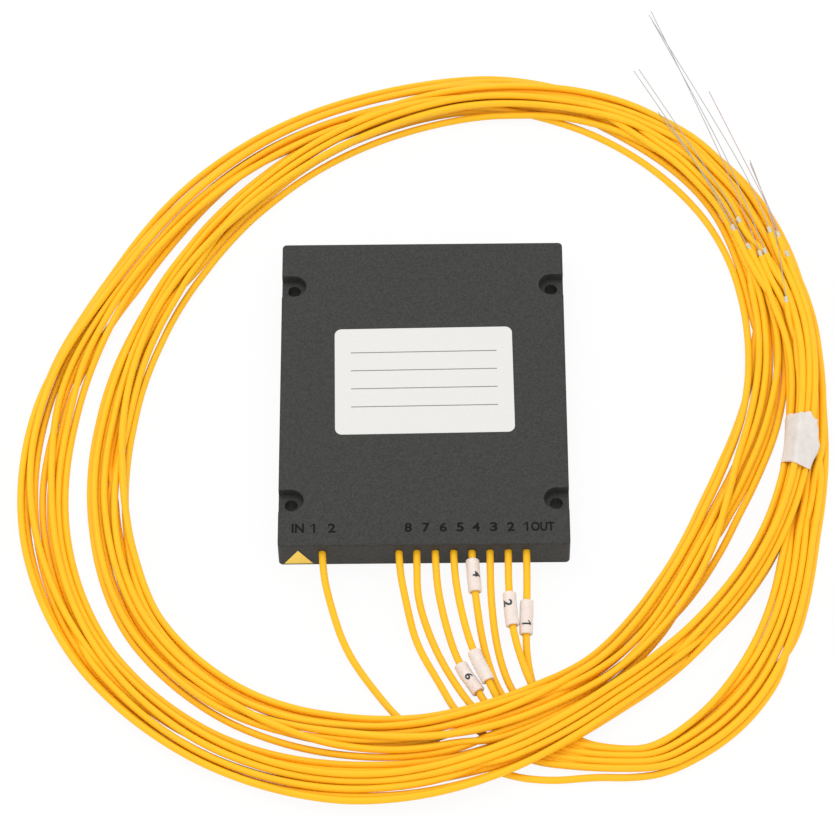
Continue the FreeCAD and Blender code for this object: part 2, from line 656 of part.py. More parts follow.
def end_line(name):
    """Start of the bare inner tube of a cable end, and its unit vector."""
    jacket, middle = CABLE_ENDS[name][:2]
    start = Vector(jacket[0], jacket[1], COIL_HEIGHT + BUFFER_RADIUS)
    heading = Vector(middle[0] - jacket[0], middle[1] - jacket[1], 0).normalize()
    return start, heading


def make_buffer(name):
    """Short translucent inner tube that stands out of the jacket."""
    start, heading = end_line(name)
    return Part.makeCylinder(BUFFER_RADIUS, BUFFER_LENGTH, start, heading)


def make_bare_fibre(name):
    """Bare glass fibre from the inner tube to its tip."""
    start, heading = end_line(name)
    middle, tip, rise = CABLE_ENDS[name][1:]
    wire, radii = rounded_wire([
        start + heading * BUFFER_LENGTH,
        Vector(middle[0], middle[1], COIL_HEIGHT + rise),
        Vector(tip[0], tip[1], COIL_HEIGHT + FIBRE_TIP_RISE),
    ])
    return round_sweep(wire, FIBRE_RADIUS)


# ---------------------------------------------------------------- build
def main():
    """Build and write every sub-part."""
    export(make_housing(), "housing")
    export(make_base_plate(), "base_plate")
    export(make_label(), "top_label")
    export(make_sticker(), "corner_sticker")

    input_face, chip_start, chip_end, output_face = chip_span()
    export(make_unit_tube(), "splitter_tube")
    export(glass_block(input_face, chip_start), "input_fibre_array")
    export(glass_block(chip_start, chip_end), "splitter_chip")
    export(glass_block(chip_end, output_face), "output_fibre_array")
    export(make_input_plug(), "input_end_plug")
    export(make_output_plug(), "output_end_plug")

    export(make_input_fibre(), "input_fibre")
    export(make_ribbon(), "fibre_ribbon")
    export(make_fan_out_block(), "fan_out_block")
    for index in range(OUTPUT_COUNT):
        export(make_output_fibre(index), "output_fibre_" + str(index + 1))
    export(make_ferrules(), "cable_ferrules")

    plain_coil = make_plain_coil()
    tape = make_tape()
    for name in cable_positions():
        export(make_cable(name, plain_coil), "cable_" + name)
    export(plain_coil.cut(tape), "cable_coil")
    export(tape, "coil_tape")
    for name in SLEEVE_PLACES:
        export(make_sleeve(name), "marker_sleeve_" + name)
    for name in CABLE_ENDS:
        export(make_buffer(name), "inner_tube_" + name)
        export(make_bare_fibre(name), "bare_fibre_" + name)


main()
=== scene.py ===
import functools
import json
import math

import bmesh
import bpy
import numpy as np
from bpy.props import FloatProperty, FloatVectorProperty, PointerProperty
from mathutils import Matrix, Vector

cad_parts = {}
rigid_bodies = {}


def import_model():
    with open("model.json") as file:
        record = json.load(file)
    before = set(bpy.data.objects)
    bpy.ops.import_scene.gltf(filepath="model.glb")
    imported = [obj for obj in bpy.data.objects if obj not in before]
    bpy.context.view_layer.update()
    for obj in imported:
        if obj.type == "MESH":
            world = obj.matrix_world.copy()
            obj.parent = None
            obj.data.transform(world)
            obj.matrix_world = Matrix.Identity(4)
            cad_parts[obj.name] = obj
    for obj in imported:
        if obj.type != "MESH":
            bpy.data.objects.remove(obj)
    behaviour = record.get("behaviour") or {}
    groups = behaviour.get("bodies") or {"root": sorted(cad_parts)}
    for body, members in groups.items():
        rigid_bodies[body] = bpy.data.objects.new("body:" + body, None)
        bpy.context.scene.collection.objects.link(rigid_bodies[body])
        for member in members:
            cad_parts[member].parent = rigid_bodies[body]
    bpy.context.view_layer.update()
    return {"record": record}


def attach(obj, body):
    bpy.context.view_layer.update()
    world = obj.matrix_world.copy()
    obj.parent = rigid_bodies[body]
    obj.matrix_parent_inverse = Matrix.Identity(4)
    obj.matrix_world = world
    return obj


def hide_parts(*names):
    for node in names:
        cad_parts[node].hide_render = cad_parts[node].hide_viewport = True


bl_info = {
    "name": "Fibre Splitter Look",
    "version": (1, 0, 0),
    "blender": (4, 5, 0),
    "location": "View3D > Sidebar > Splitter",
    "description": "Cables, markers, finishes, lights and camera of a fibre splitter module",
    "category": "Object",
}

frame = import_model()
MM = 0.001
NEAR = 0.01                 # millimetres within which a point counts as on an edge
TINY = 1e-6                 # guards divisions by nothing, and welds points that are the same

# ---- cable facts
CABLE_ORDER = ("in", "8", "7", "6", "5", "4", "3", "2", "1")   # outermost first where the coil starts
CABLE_DIAMETER = 0.002
CABLE_RADIUS = 1.0          # the same cable's radius in millimetres
# Loose stretch of each cable from its ferrule to the coil, in metres.
ROUTES = {
    "in": ((-0.028, -0.0433, 0.0062), (-0.028, -0.054, 0.0062), (-0.0258, -0.0649, 0.0049),
           (-0.0216, -0.0779, 0.002), (-0.0143, -0.0893, 0.001), (-0.0056, -0.1008, 0.001)),
    "8": ((-0.007, -0.0433, 0.0062), (-0.007, -0.054, 0.0062), (-0.005, -0.065, 0.0049),
          (-0.0024, -0.0765, 0.002), (0.0038, -0.0878, 0.001), (0.0088, -0.098, 0.001)),
    "7": ((-0.002, -0.0433, 0.0062), (-0.002, -0.054, 0.0062), (-0.0019, -0.0644, 0.0049),
          (0.0021, -0.0765, 0.002), (0.0074, -0.0871, 0.001), (0.0136, -0.0968, 0.001)),
    "6": ((0.003, -0.0433, 0.0062), (0.003, -0.054, 0.0062), (0.0041, -0.0652, 0.005),
          (0.0086, -0.0823, 0.0022), (0.0154, -0.0925, 0.002), (0.0183, -0.0995, 0.0014)),
    "5": ((0.008, -0.0433, 0.0062), (0.008, -0.054, 0.0062), (0.0094, -0.0653, 0.0053),
          (0.0126, -0.0792, 0.0043), (0.0177, -0.09, 0.0037), (0.0206, -0.0964, 0.002)),
    "4": ((0.013, -0.0433, 0.0062), (0.013, -0.0516, 0.0062), (0.014, -0.065, 0.0052),
          (0.0159, -0.0778, 0.002), (0.0192, -0.0894, 0.001), (0.0229, -0.0949, 0.001)),
    "3": ((0.018, -0.0433, 0.0062), (0.018, -0.054, 0.0062), (0.0181, -0.0645, 0.0049),
          (0.0193, -0.0766, 0.002), (0.022, -0.0874, 0.001), (0.0257, -0.0944, 0.001)),
    "2": ((0.023, -0.0433, 0.0062), (0.023, -0.0516, 0.0062), (0.0229, -0.0604, 0.006),
          (0.0237, -0.073, 0.0041), (0.0266, -0.084, 0.0031), (0.0291, -0.0908, 0.003)),
    "1": ((0.028, -0.0433, 0.0062), (0.028, -0.0516, 0.0062), (0.028, -0.0616, 0.0054),
          (0.0273, -0.077, 0.002), (0.0283, -0.0854, 0.001), (0.0302, -0.0934, 0.001)),
}
# Stripped ends, in metres: where each jacket ends, two points along the bare fibre, and its tip.
LOOSE_ENDS = {
    "in": ((0.1049, 0.0469), (0.1024, 0.0570), (0.0995, 0.0666), (0.0956, 0.0803)),
    "1": ((0.0941, 0.0497), (0.0896, 0.0600), (0.0809, 0.0789), (0.0695, 0.0993)),
    "2": ((0.0900, 0.0562), (0.0866, 0.0650), (0.0772, 0.0865), (0.0629, 0.1144)),
    "3": ((0.0972, 0.0472), (0.0928, 0.0635), (0.0846, 0.0915), (0.0688, 0.1366)),
    "4": ((0.1036, 0.0310), (0.1028, 0.0450), (0.1003, 0.0640), (0.0956, 0.0815)),
    "5": ((0.0918, 0.0589), (0.0882, 0.0678), (0.0784, 0.0869), (0.0644, 0.1150)),
    "6": ((0.1003, 0.0553), (0.0973, 0.0680), (0.0871, 0.0933), (0.0681, 0.1353)),
    "7": ((0.0987, 0.0480), (0.0940, 0.0650), (0.0860, 0.0910), (0.0691, 0.1329)),
    "8": ((0.1027, 0.0537), (0.1000, 0.0648), (0.0943, 0.0800), (0.0848, 0.1066)),
}
LOOSE_HEIGHTS = (0.00575, 0.0060, 0.0060, 0.0056)   # heights of those four points
LOOSE_LEAD = 0.012             # stretch of jacket that already lies in line with the fibre
JACKET_DIP = (0.0045, 0.0007)  # how far back and below its end the jacket's last point but one lies
INNER_TUBE_RADIUS = 0.00062
INNER_TUBE_REACH = 0.0021      # how far the inner tube stands out of the jacket
INNER_TUBE_SINK = 0.0006       # how far it goes into the jacket
FIBRE_RADIUS = 0.000125
FIBRE_SINK = 0.0004            # how far the fibre goes into the inner tube

# ---- coil facts, in millimetres
COIL_CENTRE = (0.0, -5.0)
# Inner and outer edge of the bundle of nine cables along its two and a quarter turns:
# turning angle in degrees, inner radius, outer radius.
BUNDLE = (
    (-60, 118.2, 127.8), (-52, 118.6, 132.4), (-40, 114.5, 127.0), (-20, 105.0, 114.4),
    (0, 103.0, 113.2), (20, 107.0, 116.8), (30, 111.0, 121.6), (40, 114.3, 125.6),
    (50, 115.3, 127.0), (60, 115.0, 126.0), (80, 107.0, 116.0), (100, 96.0, 107.0),
    (120, 86.5, 96.5), (140, 80.0, 90.0), (160, 78.0, 89.0), (180, 80.0, 92.0),
    (200, 86.0, 98.5), (220, 95.0, 107.0), (240, 98.0, 109.3), (260, 95.5, 108.8),
    (270, 93.9, 107.2), (280, 91.8, 104.8), (290, 90.3, 101.8), (300, 88.5, 99.8),
    (310, 83.8, 96.8), (320, 81.4, 94.3), (330, 80.6, 92.8), (340, 80.2, 92.9),
    (350, 82.6, 95.6), (360, 87.2, 100.8), (380, 97.4, 109.5), (400, 106.2, 117.5),
    (415, 109.5, 122.5), (424, 110.8, 125.2), (440, 110.2, 124.2), (450, 106.2, 118.8),
    (460, 103.0, 115.8), (480, 98.5, 110.4), (500, 93.5, 105.5), (510, 93.0, 103.0),
    (520, 93.5, 104.5), (540, 96.5, 111.5), (560, 104.3, 118.3), (580, 111.0, 123.0),
    (600, 112.5, 123.8), (620, 109.6, 122.8), (630, 107.2, 119.0), (640, 104.0, 115.0),
    (650, 100.9, 110.4), (660, 98.2, 106.0), (680, 98.2, 105.4), (700, 100.0, 107.4),
    (720, 101.6, 109.2), (740, 105.0, 116.0), (757, 107.5, 119.0),
)
# Slits that open between neighbours: from and to which turning angle, how many cables lie
# inside of them, and their width.
SLITS = (
    (-57, -46, 6, 0.8), (-54, -16, 1, 1.0), (-6, 8, 7, 0.9), (72, 96, 1, 1.3), (84, 100, 4, 0.7),
    (146, 176, 1, 1.2), (178, 216, 2, 1.0), (186, 210, 4, 0.8), (229, 241, 2, 0.8),
    (288, 304, 4, 0.8), (296, 322, 1, 1.1), (314, 342, 7, 1.3), (338, 354, 5, 0.7),
    (370, 384, 3, 0.7), (378, 436, 1, 4.4), (472, 508, 8, 1.2), (466, 478, 2, 0.7),
    (516, 542, 2, 1.3), (526, 570, 4, 1.5), (542, 580, 7, 1.1), (594, 608, 2, 0.8),
    (622, 642, 7, 1.0),
)
# Waves by which each cable wanders across the bundle: limits of size in lanes and of waves per turn.
WANDER = (((1.2, 2.2), (0.9, 1.7)), ((0.9, 1.7), (2.0, 3.4)))
WAVE_STARTS = 6.3           # radians within which a wave starts anywhere
WANDER_START = (-60, -30)   # turning angles between which the waves grow to their size
WANDER_CALM, CALM_SHARE = (620, 680), 0.85      # where they shrink again, and by what share
WANDER_SEED = 11
EVENNESS = 0.8              # how evenly the cables share the width of the bundle, 0 to 1
LANE_BLEND = 0.3            # distance in lanes over which two cables trade places
FIRST_ANGLE = -60.0         # turning angle of the coil's first section
ANGLE_STEP = 5.0
SECTIONS = 72               # sections round one turn
TURNS = 3
LANE_SMOOTHINGS = 3
EASE_SPAN = 7.0             # degrees over which the bundle's edges are smoothed
SLIT_EASE = 0.45            # share of a slit's length over which it opens and closes
LAST_SECTION = 4.5          # degrees before the jacket's end at which a cable has its last section
END_APPROACH = 32           # degrees over which a cable turns towards its stripped end
FIRST_LANES = (8, 7, 6, 5, 4, 3, 2, 1, 0)     # place of each cable across the bundle, 0 innermost
LATER_LANES = (7, 8, 5, 6, 4, 2, 3, 0, 1)     # the same after the first turn
LANE_SWAP = (200, 330)      # turning angles between which the first places become the later ones
FLAT_LAYERS = (0, 1, 0, 1, 0, 1, 0, 1, 0)     # layer by place where the bundle lies wide
# Share of the width and layer by place where the tape holds the bundle packed.
PACKED_SHARES = (0, 0, 0.33, 0.33, 0.5, 0.67, 0.67, 1, 1)
PACKED_LAYERS = (0, 1, 0, 1, 2, 0, 1, 0, 1)
PACKED = (662, 692), (728, 748)     # turning angles between which the packing starts and stops

# Heights. A pair of spans gives the angles between which something rises and falls again.
LAYER_STEP = 1.75           # rough height of one layer on another
CABLE_STEP = 0.04           # the small difference that decides which cable settles first
CROSSING_LIFT = 4.2         # start height of a stretch that crosses over others
CROSSING = ((58, 72), (108, 124))
LAST_CROSSING = (690, 712)  # from here on the last cables lie over the others
# Round the coil's front the nine cables run in below it. It is lifted by one cable where it lies
# over them, and its first pass by one more where they lie two deep.
LEADS_BELOW, LEAD_LIFT = ((-112, -99), (-68, -56)), 2.0
LEADS_DEEP, DEEP_LIFT = ((-96, -80), (-70, -58)), 1.9
FIRST_PASS = (200, 400)     # turning angles of the first pass over them
NEAR_ENDS = ((6, 22), (54, 66))     # where the stripped ends lie over the coil
COIL_CEILING = 4.4          # greatest height of the first turns under the stripped ends
LAST_CEILING = 4.9          # greatest height of the last cables beside the stripped ends
OPEN_CEILING = 12.0         # the same anywhere else, where nothing limits them
LAST_TURN = 600             # turning angle from which a cable counts as one of the last

# Settling: in small steps the cables sink, straighten, return to their lanes and push each other off.
CABLE_GAP = 2.02            # distance at which two cables lie on each other
LOOSE_END_REACH = 0.6       # half the thickness that a stripped end keeps free
EDGE_SLACK = 0.5            # how far cables may be pushed out of the edges of the bundle
SETTLE_STEPS, STIFF_STEPS = 160, 110            # all the steps, and those in which they stay stiff
STIFFNESS, LATE_STIFFNESS = 0.5, 0.15           # share of a bend that goes out of them in a step
SINK = 0.02                 # how far they sink in a step
PUSHES, PUSH_SHARE = 2, 0.35                    # pushes in a step, and share of an overlap undone
LANE_PULL, PULL_LOSS = 0.2, 0.15    # pull towards the lane, and what it loses near the stripped ends

# Coil angle and radius of the points by which a cable comes out from under the coil.
WAY_OUT_IN = ((-79, 113.2), (-73.5, 117.6), (-68, 120.3), (-64, 124.6))
WAY_OUT_8 = ((-75.5, 110.2), (-70, 115.8), (-65, 121.3))
WAY_OUT_1 = ((-68.5, 106.3), (-67, 110.6), (-63.5, 115.4))
WAY_OUT_LIFTS = (0.0, 0.8, 1.6)     # lift at these points of a cable in the upper layer
WAY_UNDER_SHIFT = (-0.0003, -0.0007)    # in metres, of the point half way to the first of them

# ---- tape, marker sleeves and marks
TAPE_ENDS = (709.8, 718.5)  # turning angles between which the tape lies
TAPE_THICKNESS = 0.12
TAPE_FLOOR = 0.02           # least height of its outer face
TAPE_GRID = (72, 24)        # faces round the bundle and along it
RAGGEDNESS = 0.035          # random step of its cut ends from face to face
RAGGED_SEED = 3
# Its cut ends: how far they stand out at the inner side, steps across the bundle (size, from and to
# which share of the width), and how much further they stand out on the underside.
TAPE_HEAD = (1.0, ((-1.0, 0.1, 0.4), (0.9, 0.5, 0.74), (-1.9, 0.76, 0.88)), 1.1)
TAPE_FOOT = (0.3, ((-1.1, 0.1, 0.5),), 1.6)
HEAD_FROM, FOOT_TO = 0.7, 0.3       # shares of its length from and up to which the ends are drawn out
FOLD_FROM = 0.86            # share of the width from which the loose fold starts
FOLD_PRESS = 0.4            # how far the fold is pressed flat
# How far the loose fold of the tape stands out by share of its length.
TAPE_FOLD = (
    (0.0, 0.0), (0.12, 0.3), (0.28, 0.8), (0.4, 1.3), (0.5, 1.5), (0.58, 1.0), (0.7, 0.6),
    (0.8, 0.6), (0.9, 0.0), (1.0, 0.0),
)
SLEEVE_RADIUS = 1.89
SLEEVE_BORE = 1.2
SLEEVE_LENGTH = 9.6
SLEEVE_RIM = 0.3            # rounding of the ends
SLEEVE_SIDES, SLEEVE_RINGS = 40, 14
SLEEVE_OVAL = (0.012, 0.5)  # share by which a sleeve is out of round, and which way
SLEEVE_SLIDE = {"1": 0.3, "2": 1.0, "4": -0.7}    # further along the cable
# Mark of each sleeve: text, height and width of the glyph, how far along the sleeve, and how far
# round it from the side that faces up.
SLEEVE_MARKS = {
    "1": ("1", 2.7, 1.2, 0.69, 0.05),
    "2": ("2", 2.6, 1.9, 0.36, -0.4),
    "4": ("4", 2.3, 1.7, 0.52, 0.45),
    "6": ("6", 2.3, 1.7, 0.5, -0.05),
}
SLEEVE_MARK_RISE = 0.04     # height of the ink's face above the sleeve
SLEEVE_MARK_STEP = 0.12     # width of the strips in which a mark bends round the sleeve
MARK_WEIGHT = 0.03          # how much thicker than the plain font the strokes are
ONE_OUTLINE = ((0.6, 0), (1, 0), (1, 1), (0.66, 1), (0, 0.74), (0, 0.6), (0.6, 0.8))
TOP_FACE = 10.0
MARK_HEIGHT = 2.9
MARK_RISE = 0.015           # height of the marks' face above the top face
MARK_LINE = -44.4           # y of the middle of the row of marks on the top
# Marks on the top: text, x of its middle, and its width.
PORT_MARKS = (
    ("IN", -34.5, 3.4), ("1", -30.4, 1.3), ("2", -25.2, 2.1), ("8", -4.3, 2.0), ("7", 0.6, 2.0),
    ("6", 5.3, 2.0), ("5", 9.9, 2.0), ("4", 14.3, 2.1), ("3", 19.1, 2.0), ("2", 23.8, 2.1),
    ("1", 27.9, 1.3), ("OUT", 32.5, 6.4),
)
LABEL_CENTRE = (0.3, 3.4)
LABEL_TURN = 0.6
LABEL_RULES = (9.5, 3.5, -2.5, -8.5)    # y of the write-on lines from the label's middle
RULE_LENGTH, RULE_WIDTH = 41.0, 0.28
RULE_RISE = 0.12            # height of the lines above the top face, just over the label


# ---- finishes, camera and lights
# Finish of each material slot: colour, roughness, spread of tone, grain in metres, relief.
FINISHES = {
    "moulded_black": ((0.034, 0.034, 0.0315), 0.62, 0.32, 0.0006, 0.35),
    "label_paper": ((0.72, 0.71, 0.685), 0.5, 0.012, 0.0010, 0.04),
    "sticker_film": ((0.95, 0.66, 0.10), 0.45, 0.04, 0.0008, 0.05),
    "steel": ((0.55, 0.55, 0.56), 0.3, 0.05, 0.0010, 0.05),
    "quartz": ((0.75, 0.78, 0.8), 0.1, 0.02, 0.0010, 0.02),
    "soft_plug": ((0.35, 0.35, 0.36), 0.6, 0.08, 0.0006, 0.1),
    "clear_plastic": ((0.72, 0.74, 0.74), 0.2, 0.02, 0.0020, 0.03),
    "ferrule_metal": ((0.62, 0.6, 0.55), 0.32, 0.06, 0.0008, 0.08),
    "inner_tube_plastic": ((0.62, 0.58, 0.47), 0.35, 0.06, 0.0010, 0.05),
    "coated_fibre": ((0.40, 0.45, 0.40), 0.3, 0.1, 0.0040, 0.02),
}
METALS = ("steel", "ferrule_metal")
# Finishes of the pieces made here, whose colours are settings: roughness, spread, grain, relief.
JACKET_GRAIN = (0.03, 0.012, 0.015)     # without the roughness, which is a setting too
TAPE_FINISH = (0.5, 0.06, 0.0025, 0.3)
SLEEVE_FINISH = (0.45, 0.04, 0.002, 0.12)
INK_FINISH = (0.5, 0.3, 0.0004, 0.05)
# Finish of the port marks, whose dark colour is painted shade that stands in for the shade in their
# recesses.
PAINTED_SHADE_FINISH = (0.8, 0.35, 0.0005, 0.3)
RULE_FINISH = (0.6, 0.1, 0.0006, 0.05)
# Coating colours of the bare fibres that differ from the common grey green.
FIBRE_TINTS = {
    "in": (0.48, 0.34, 0.34), "3": (0.50, 0.38, 0.37), "6": (0.42, 0.42, 0.42),
    "7": (0.33, 0.44, 0.43), "8": (0.50, 0.36, 0.36),
}
CAMERA_LENS = 168.94
CAMERA_TURNS = (0.72, 57.67, -1.118)        # azimuth, elevation and roll in degrees
CAMERA_PLACE = (0.0056, -0.58935, 0.93187)
KEY_PLACE, KEY_SIZE = (-0.25, 0.35, 1.1), 0.7
FILL_PLACE, FILL_SIZE = (0.5, -0.8, 0.9), 0.9
FLOOR_SIZE = 4.0


# ---- settings
class SPLITTER_PG_look(bpy.types.PropertyGroup):
    """Colours of the pieces"""

    jacket_colour: FloatVectorProperty(
        name="Jacket", description="Colour of the cable jackets", subtype="COLOR", size=3,
        default=(1.0, 0.525, 0.014), min=0.0, max=1.0)
    jacket_roughness: FloatProperty(
        name="Jacket roughness", description="Roughness of the cable jackets", default=0.45,
        min=0.0, max=1.0)
    jacket_glow: FloatProperty(
        name="Jacket glow", description="Share of light that passes inside the jackets", default=0.0,
        min=0.0, max=1.0)
    marker_colour: FloatVectorProperty(
        name="Markers", description="Colour of the sleeves and the tape", subtype="COLOR", size=3,
        default=(0.82, 0.72, 0.66), min=0.0, max=1.0)
    ink_colour: FloatVectorProperty(
        name="Ink", description="Colour of the digits on the sleeves", subtype="COLOR", size=3,
        default=(0.03, 0.03, 0.03), min=0.0, max=1.0)
    # Colour of the port marks on the top face: painted shade, darker than the box, that stands in for the
    # shade in their recesses.
    painted_shade_colour: FloatVectorProperty(
        name="Painted mark shade", description="Colour of the marks on the top face", subtype="COLOR", size=3,
        default=(0.009, 0.009, 0.008), min=0.0, max=1.0)
    rule_colour: FloatVectorProperty(
        name="Label lines", description="Colour of the lines on the label", subtype="COLOR", size=3,
        default=(0.2, 0.2, 0.2), min=0.0, max=1.0)


class SPLITTER_PG_stage(bpy.types.PropertyGroup):
    """Light of the scene"""

    sky: FloatProperty(
        name="Sky", description="Strength of the even light", default=0.95, min=0.0, max=5.0)
    key_power: FloatProperty(
        name="Key", description="Power of the key light", default=3.2, min=0.0, unit="POWER")
    fill_power: FloatProperty(
        name="Fill", description="Power of the fill light", default=1.0, min=0.0, unit="POWER")
    floor_shadow: FloatProperty(
        name="Floor shadow", description="Share of real shade that the floor shows", default=0.08,
        min=0.0, max=1.0)


# ---- coil
def bundle_edge(column, angles):
    """Smooth radius of the bundle's inner (1) or outer (2) edge at some turning angles."""
    table = np.array(BUNDLE).T
    shifts = (-EASE_SPAN, 0.0, 0.0, EASE_SPAN)
    return sum(np.interp(angles + shift, table[0], table[column]) for shift in shifts) / len(shifts)


def ramp(value, low, high):
    """Smooth step from 0 at low to 1 at high."""
    t = np.clip((value - low) / (high - low), 0.0, 1.0)
    return t * t * (3 - 2 * t)


def plateau(value, rise, fall):
    """Smooth rise from 0 to 1 over one span and fall back to 0 over another."""
    return ramp(value, *rise) * (1 - ramp(value, *fall))


def passed(lanes):
    """Smooth switch from 0 to 1 as a distance in lanes passes zero."""
    return 0.5 + 0.5 * np.tanh(lanes / LANE_BLEND)


def angle_at(ends, share):
    """Angle at a share of the way between two angles."""
    return ends[0] + (ends[1] - ends[0]) * share


def polar_point(angle, radius, height):
    """Point in metres from a coil angle in degrees, a radius and a height in millimetres."""
    turn = math.radians(angle)
    return Vector((
        (COIL_CENTRE[0] + radius * math.cos(turn)) * MM,
        (COIL_CENTRE[1] + radius * math.sin(turn)) * MM,
        height * MM,
    ))


def polar_of(point):
    """Coil angle in degrees and radius in millimetres of a point in metres."""
    x = point[0] / MM - COIL_CENTRE[0]
    y = point[1] / MM - COIL_CENTRE[1]
    return math.degrees(math.atan2(y, x)), math.hypot(x, y)


def turning_angle(point):
    """Turning angle of a point beside the end of the coil, after two full turns."""
    return polar_of(point)[0] + 720


def cable_lanes(angles):
    """Place of every cable across the bundle at every section, from 0 inside to 8 outside."""
    random = np.random.default_rng(WANDER_SEED)
    swap = ramp(angles, *LANE_SWAP)
    calm = (1 - CALM_SHARE * ramp(angles, *WANDER_CALM)) * ramp(angles, *WANDER_START)
    lanes = []
    for first, later in zip(FIRST_LANES, LATER_LANES):
        lane = first * (1 - swap) + later * swap
        for size, rate in WANDER:
            waves = np.radians(angles * random.uniform(*rate))
            lane = lane + random.uniform(*size) * np.sin(waves + random.uniform(0, WAVE_STARTS)) * calm
        lanes.append(lane)
    lanes = np.array(lanes)
    low, high = lanes.min(axis=0), lanes.max(axis=0)
    return (lanes - low) / (high - low) * (len(CABLE_ORDER) - 1)


def slit_widths(angles):
    """Width at every section of the slit below each place across the bundle."""
    widths = np.zeros((len(CABLE_ORDER), len(angles)))
    for low, high, place, width in SLITS:
        ease = SLIT_EASE * (high - low)
        widths[place] += width * plateau(angles, (low, low + ease), (high - ease, high))
    return widths


def spread_lanes(lanes, angles, inner, outer):
    """Radius of every cable from its lane, the edges of the bundle and its slits."""
    widths = slit_widths(angles)
    order = passed(lanes[:, None] - lanes[None]).sum(axis=1) - 0.5
    lanes = (1 - EVENNESS) * lanes + EVENNESS * order
    packed = (len(CABLE_ORDER) - 1) * np.interp(order, range(len(CABLE_ORDER)), PACKED_SHARES)
    lanes = lanes + (packed - lanes) * plateau(angles, *PACKED)
    total = np.minimum(widths.sum(axis=0), 0.5 * (outer - inner))
    scale = total / np.maximum(widths.sum(axis=0), TINY)
    radius = inner + (outer - inner - total) * lanes / (len(CABLE_ORDER) - 1)
    for place in range(1, len(CABLE_ORDER)):
        radius = radius + passed(order - place + 0.5) * widths[place] * scale
    return radius


def loose_points(name):
    """Points of a stripped end, from the jacket's end to the tip of the fibre, and its heading."""
    points = [Vector((*place, height)) for place, height in zip(LOOSE_ENDS[name], LOOSE_HEIGHTS)]
    heading = (points[1] - points[0]).to_2d().normalized().to_3d()
    return points, heading


def loose_end(name, angles):
    """Radius and height of a stripped end at some coil angles, and the angle of its tip."""
    points, heading = loose_points(name)
    line = [points[0] - heading * LOOSE_LEAD, *points]
    turns = [turning_angle(point) for point in line]
    radius = np.interp(angles, turns, [polar_of(point)[1] for point in line])
    height = np.interp(angles, turns, [point.z / MM for point in line])
    return radius, height, turns[-1]


def start_levels(angles):
    """Rough height of every cable at every section, which decides what lies on what."""
    swap = ramp(angles, *LANE_SWAP)
    tight = plateau(angles, *PACKED)
    levels = []
    for k, (first, later) in enumerate(zip(FIRST_LANES, LATER_LANES)):
        flat = FLAT_LAYERS[first] * (1 - swap) + FLAT_LAYERS[later] * swap
        layer = flat * (1 - tight) + PACKED_LAYERS[later] * tight
        levels.append(CABLE_RADIUS + LAYER_STEP * layer + CABLE_STEP * k)
    crossed = plateau(angles, *CROSSING) + ramp(angles, *LAST_CROSSING)
    return np.array(levels) + CROSSING_LIFT * crossed


def drop(across, level, floor, live):
    """Heights at which cables come to rest on the floor and on each other, section by section."""
    rest = np.array(level)
    for section in range(len(across)):
        placed = []
        for item in np.argsort(level[section]):
            if not live[section, item]:
                continue
            height = floor[section, item]
            for other in placed:
                apart = abs(across[section, item] - across[section, other])
                if apart < CABLE_GAP:
                    lift = math.sqrt(CABLE_GAP ** 2 - apart ** 2)
                    height = max(height, rest[section, other] + lift)
            rest[section, item] = height
            placed.append(item)
    return rest


def lane_radii(angles, ends, inner, outer):
    """Radius of the lane of every cable at every section, each turning to its jacket's end at last."""
    aim = spread_lanes(cable_lanes(angles), angles, inner, outer)
    end_radius = np.array([polar_of(LOOSE_ENDS[name][0])[1] for name in CABLE_ORDER])
    near_end = ramp(angles[None, :], ends[:, None] - END_APPROACH, ends[:, None])
    aim = aim * (1 - near_end) + end_radius[:, None] * near_end
    centre = (inner + outer) / 2
    offset = aim - centre
    for smoothing in range(LANE_SMOOTHINGS):
        offset[:, 1:-1] += 0.5 * (0.5 * (offset[:, :-2] + offset[:, 2:]) - offset[:, 1:-1])
    return centre + offset


def coil_limits(angles):
    """Least and greatest height of the cables at every section, and the pull towards their lanes."""
    compass = (angles + 180) % 360 - 180
    below = LEAD_LIFT * plateau(compass, *LEADS_BELOW)
    deep = DEEP_LIFT * plateau(compass, *LEADS_DEEP) * (angles < FIRST_PASS[1])
    floor = CABLE_RADIUS + (below + deep) * (angles > FIRST_PASS[0])
    near_ends = plateau(compass, *NEAR_ENDS)
    low_ceiling = np.where(angles < LAST_TURN, COIL_CEILING, LAST_CEILING)
    ceiling = OPEN_CEILING - near_ends * (OPEN_CEILING - low_ceiling)
    return floor, ceiling, LANE_PULL - PULL_LOSS * near_ends


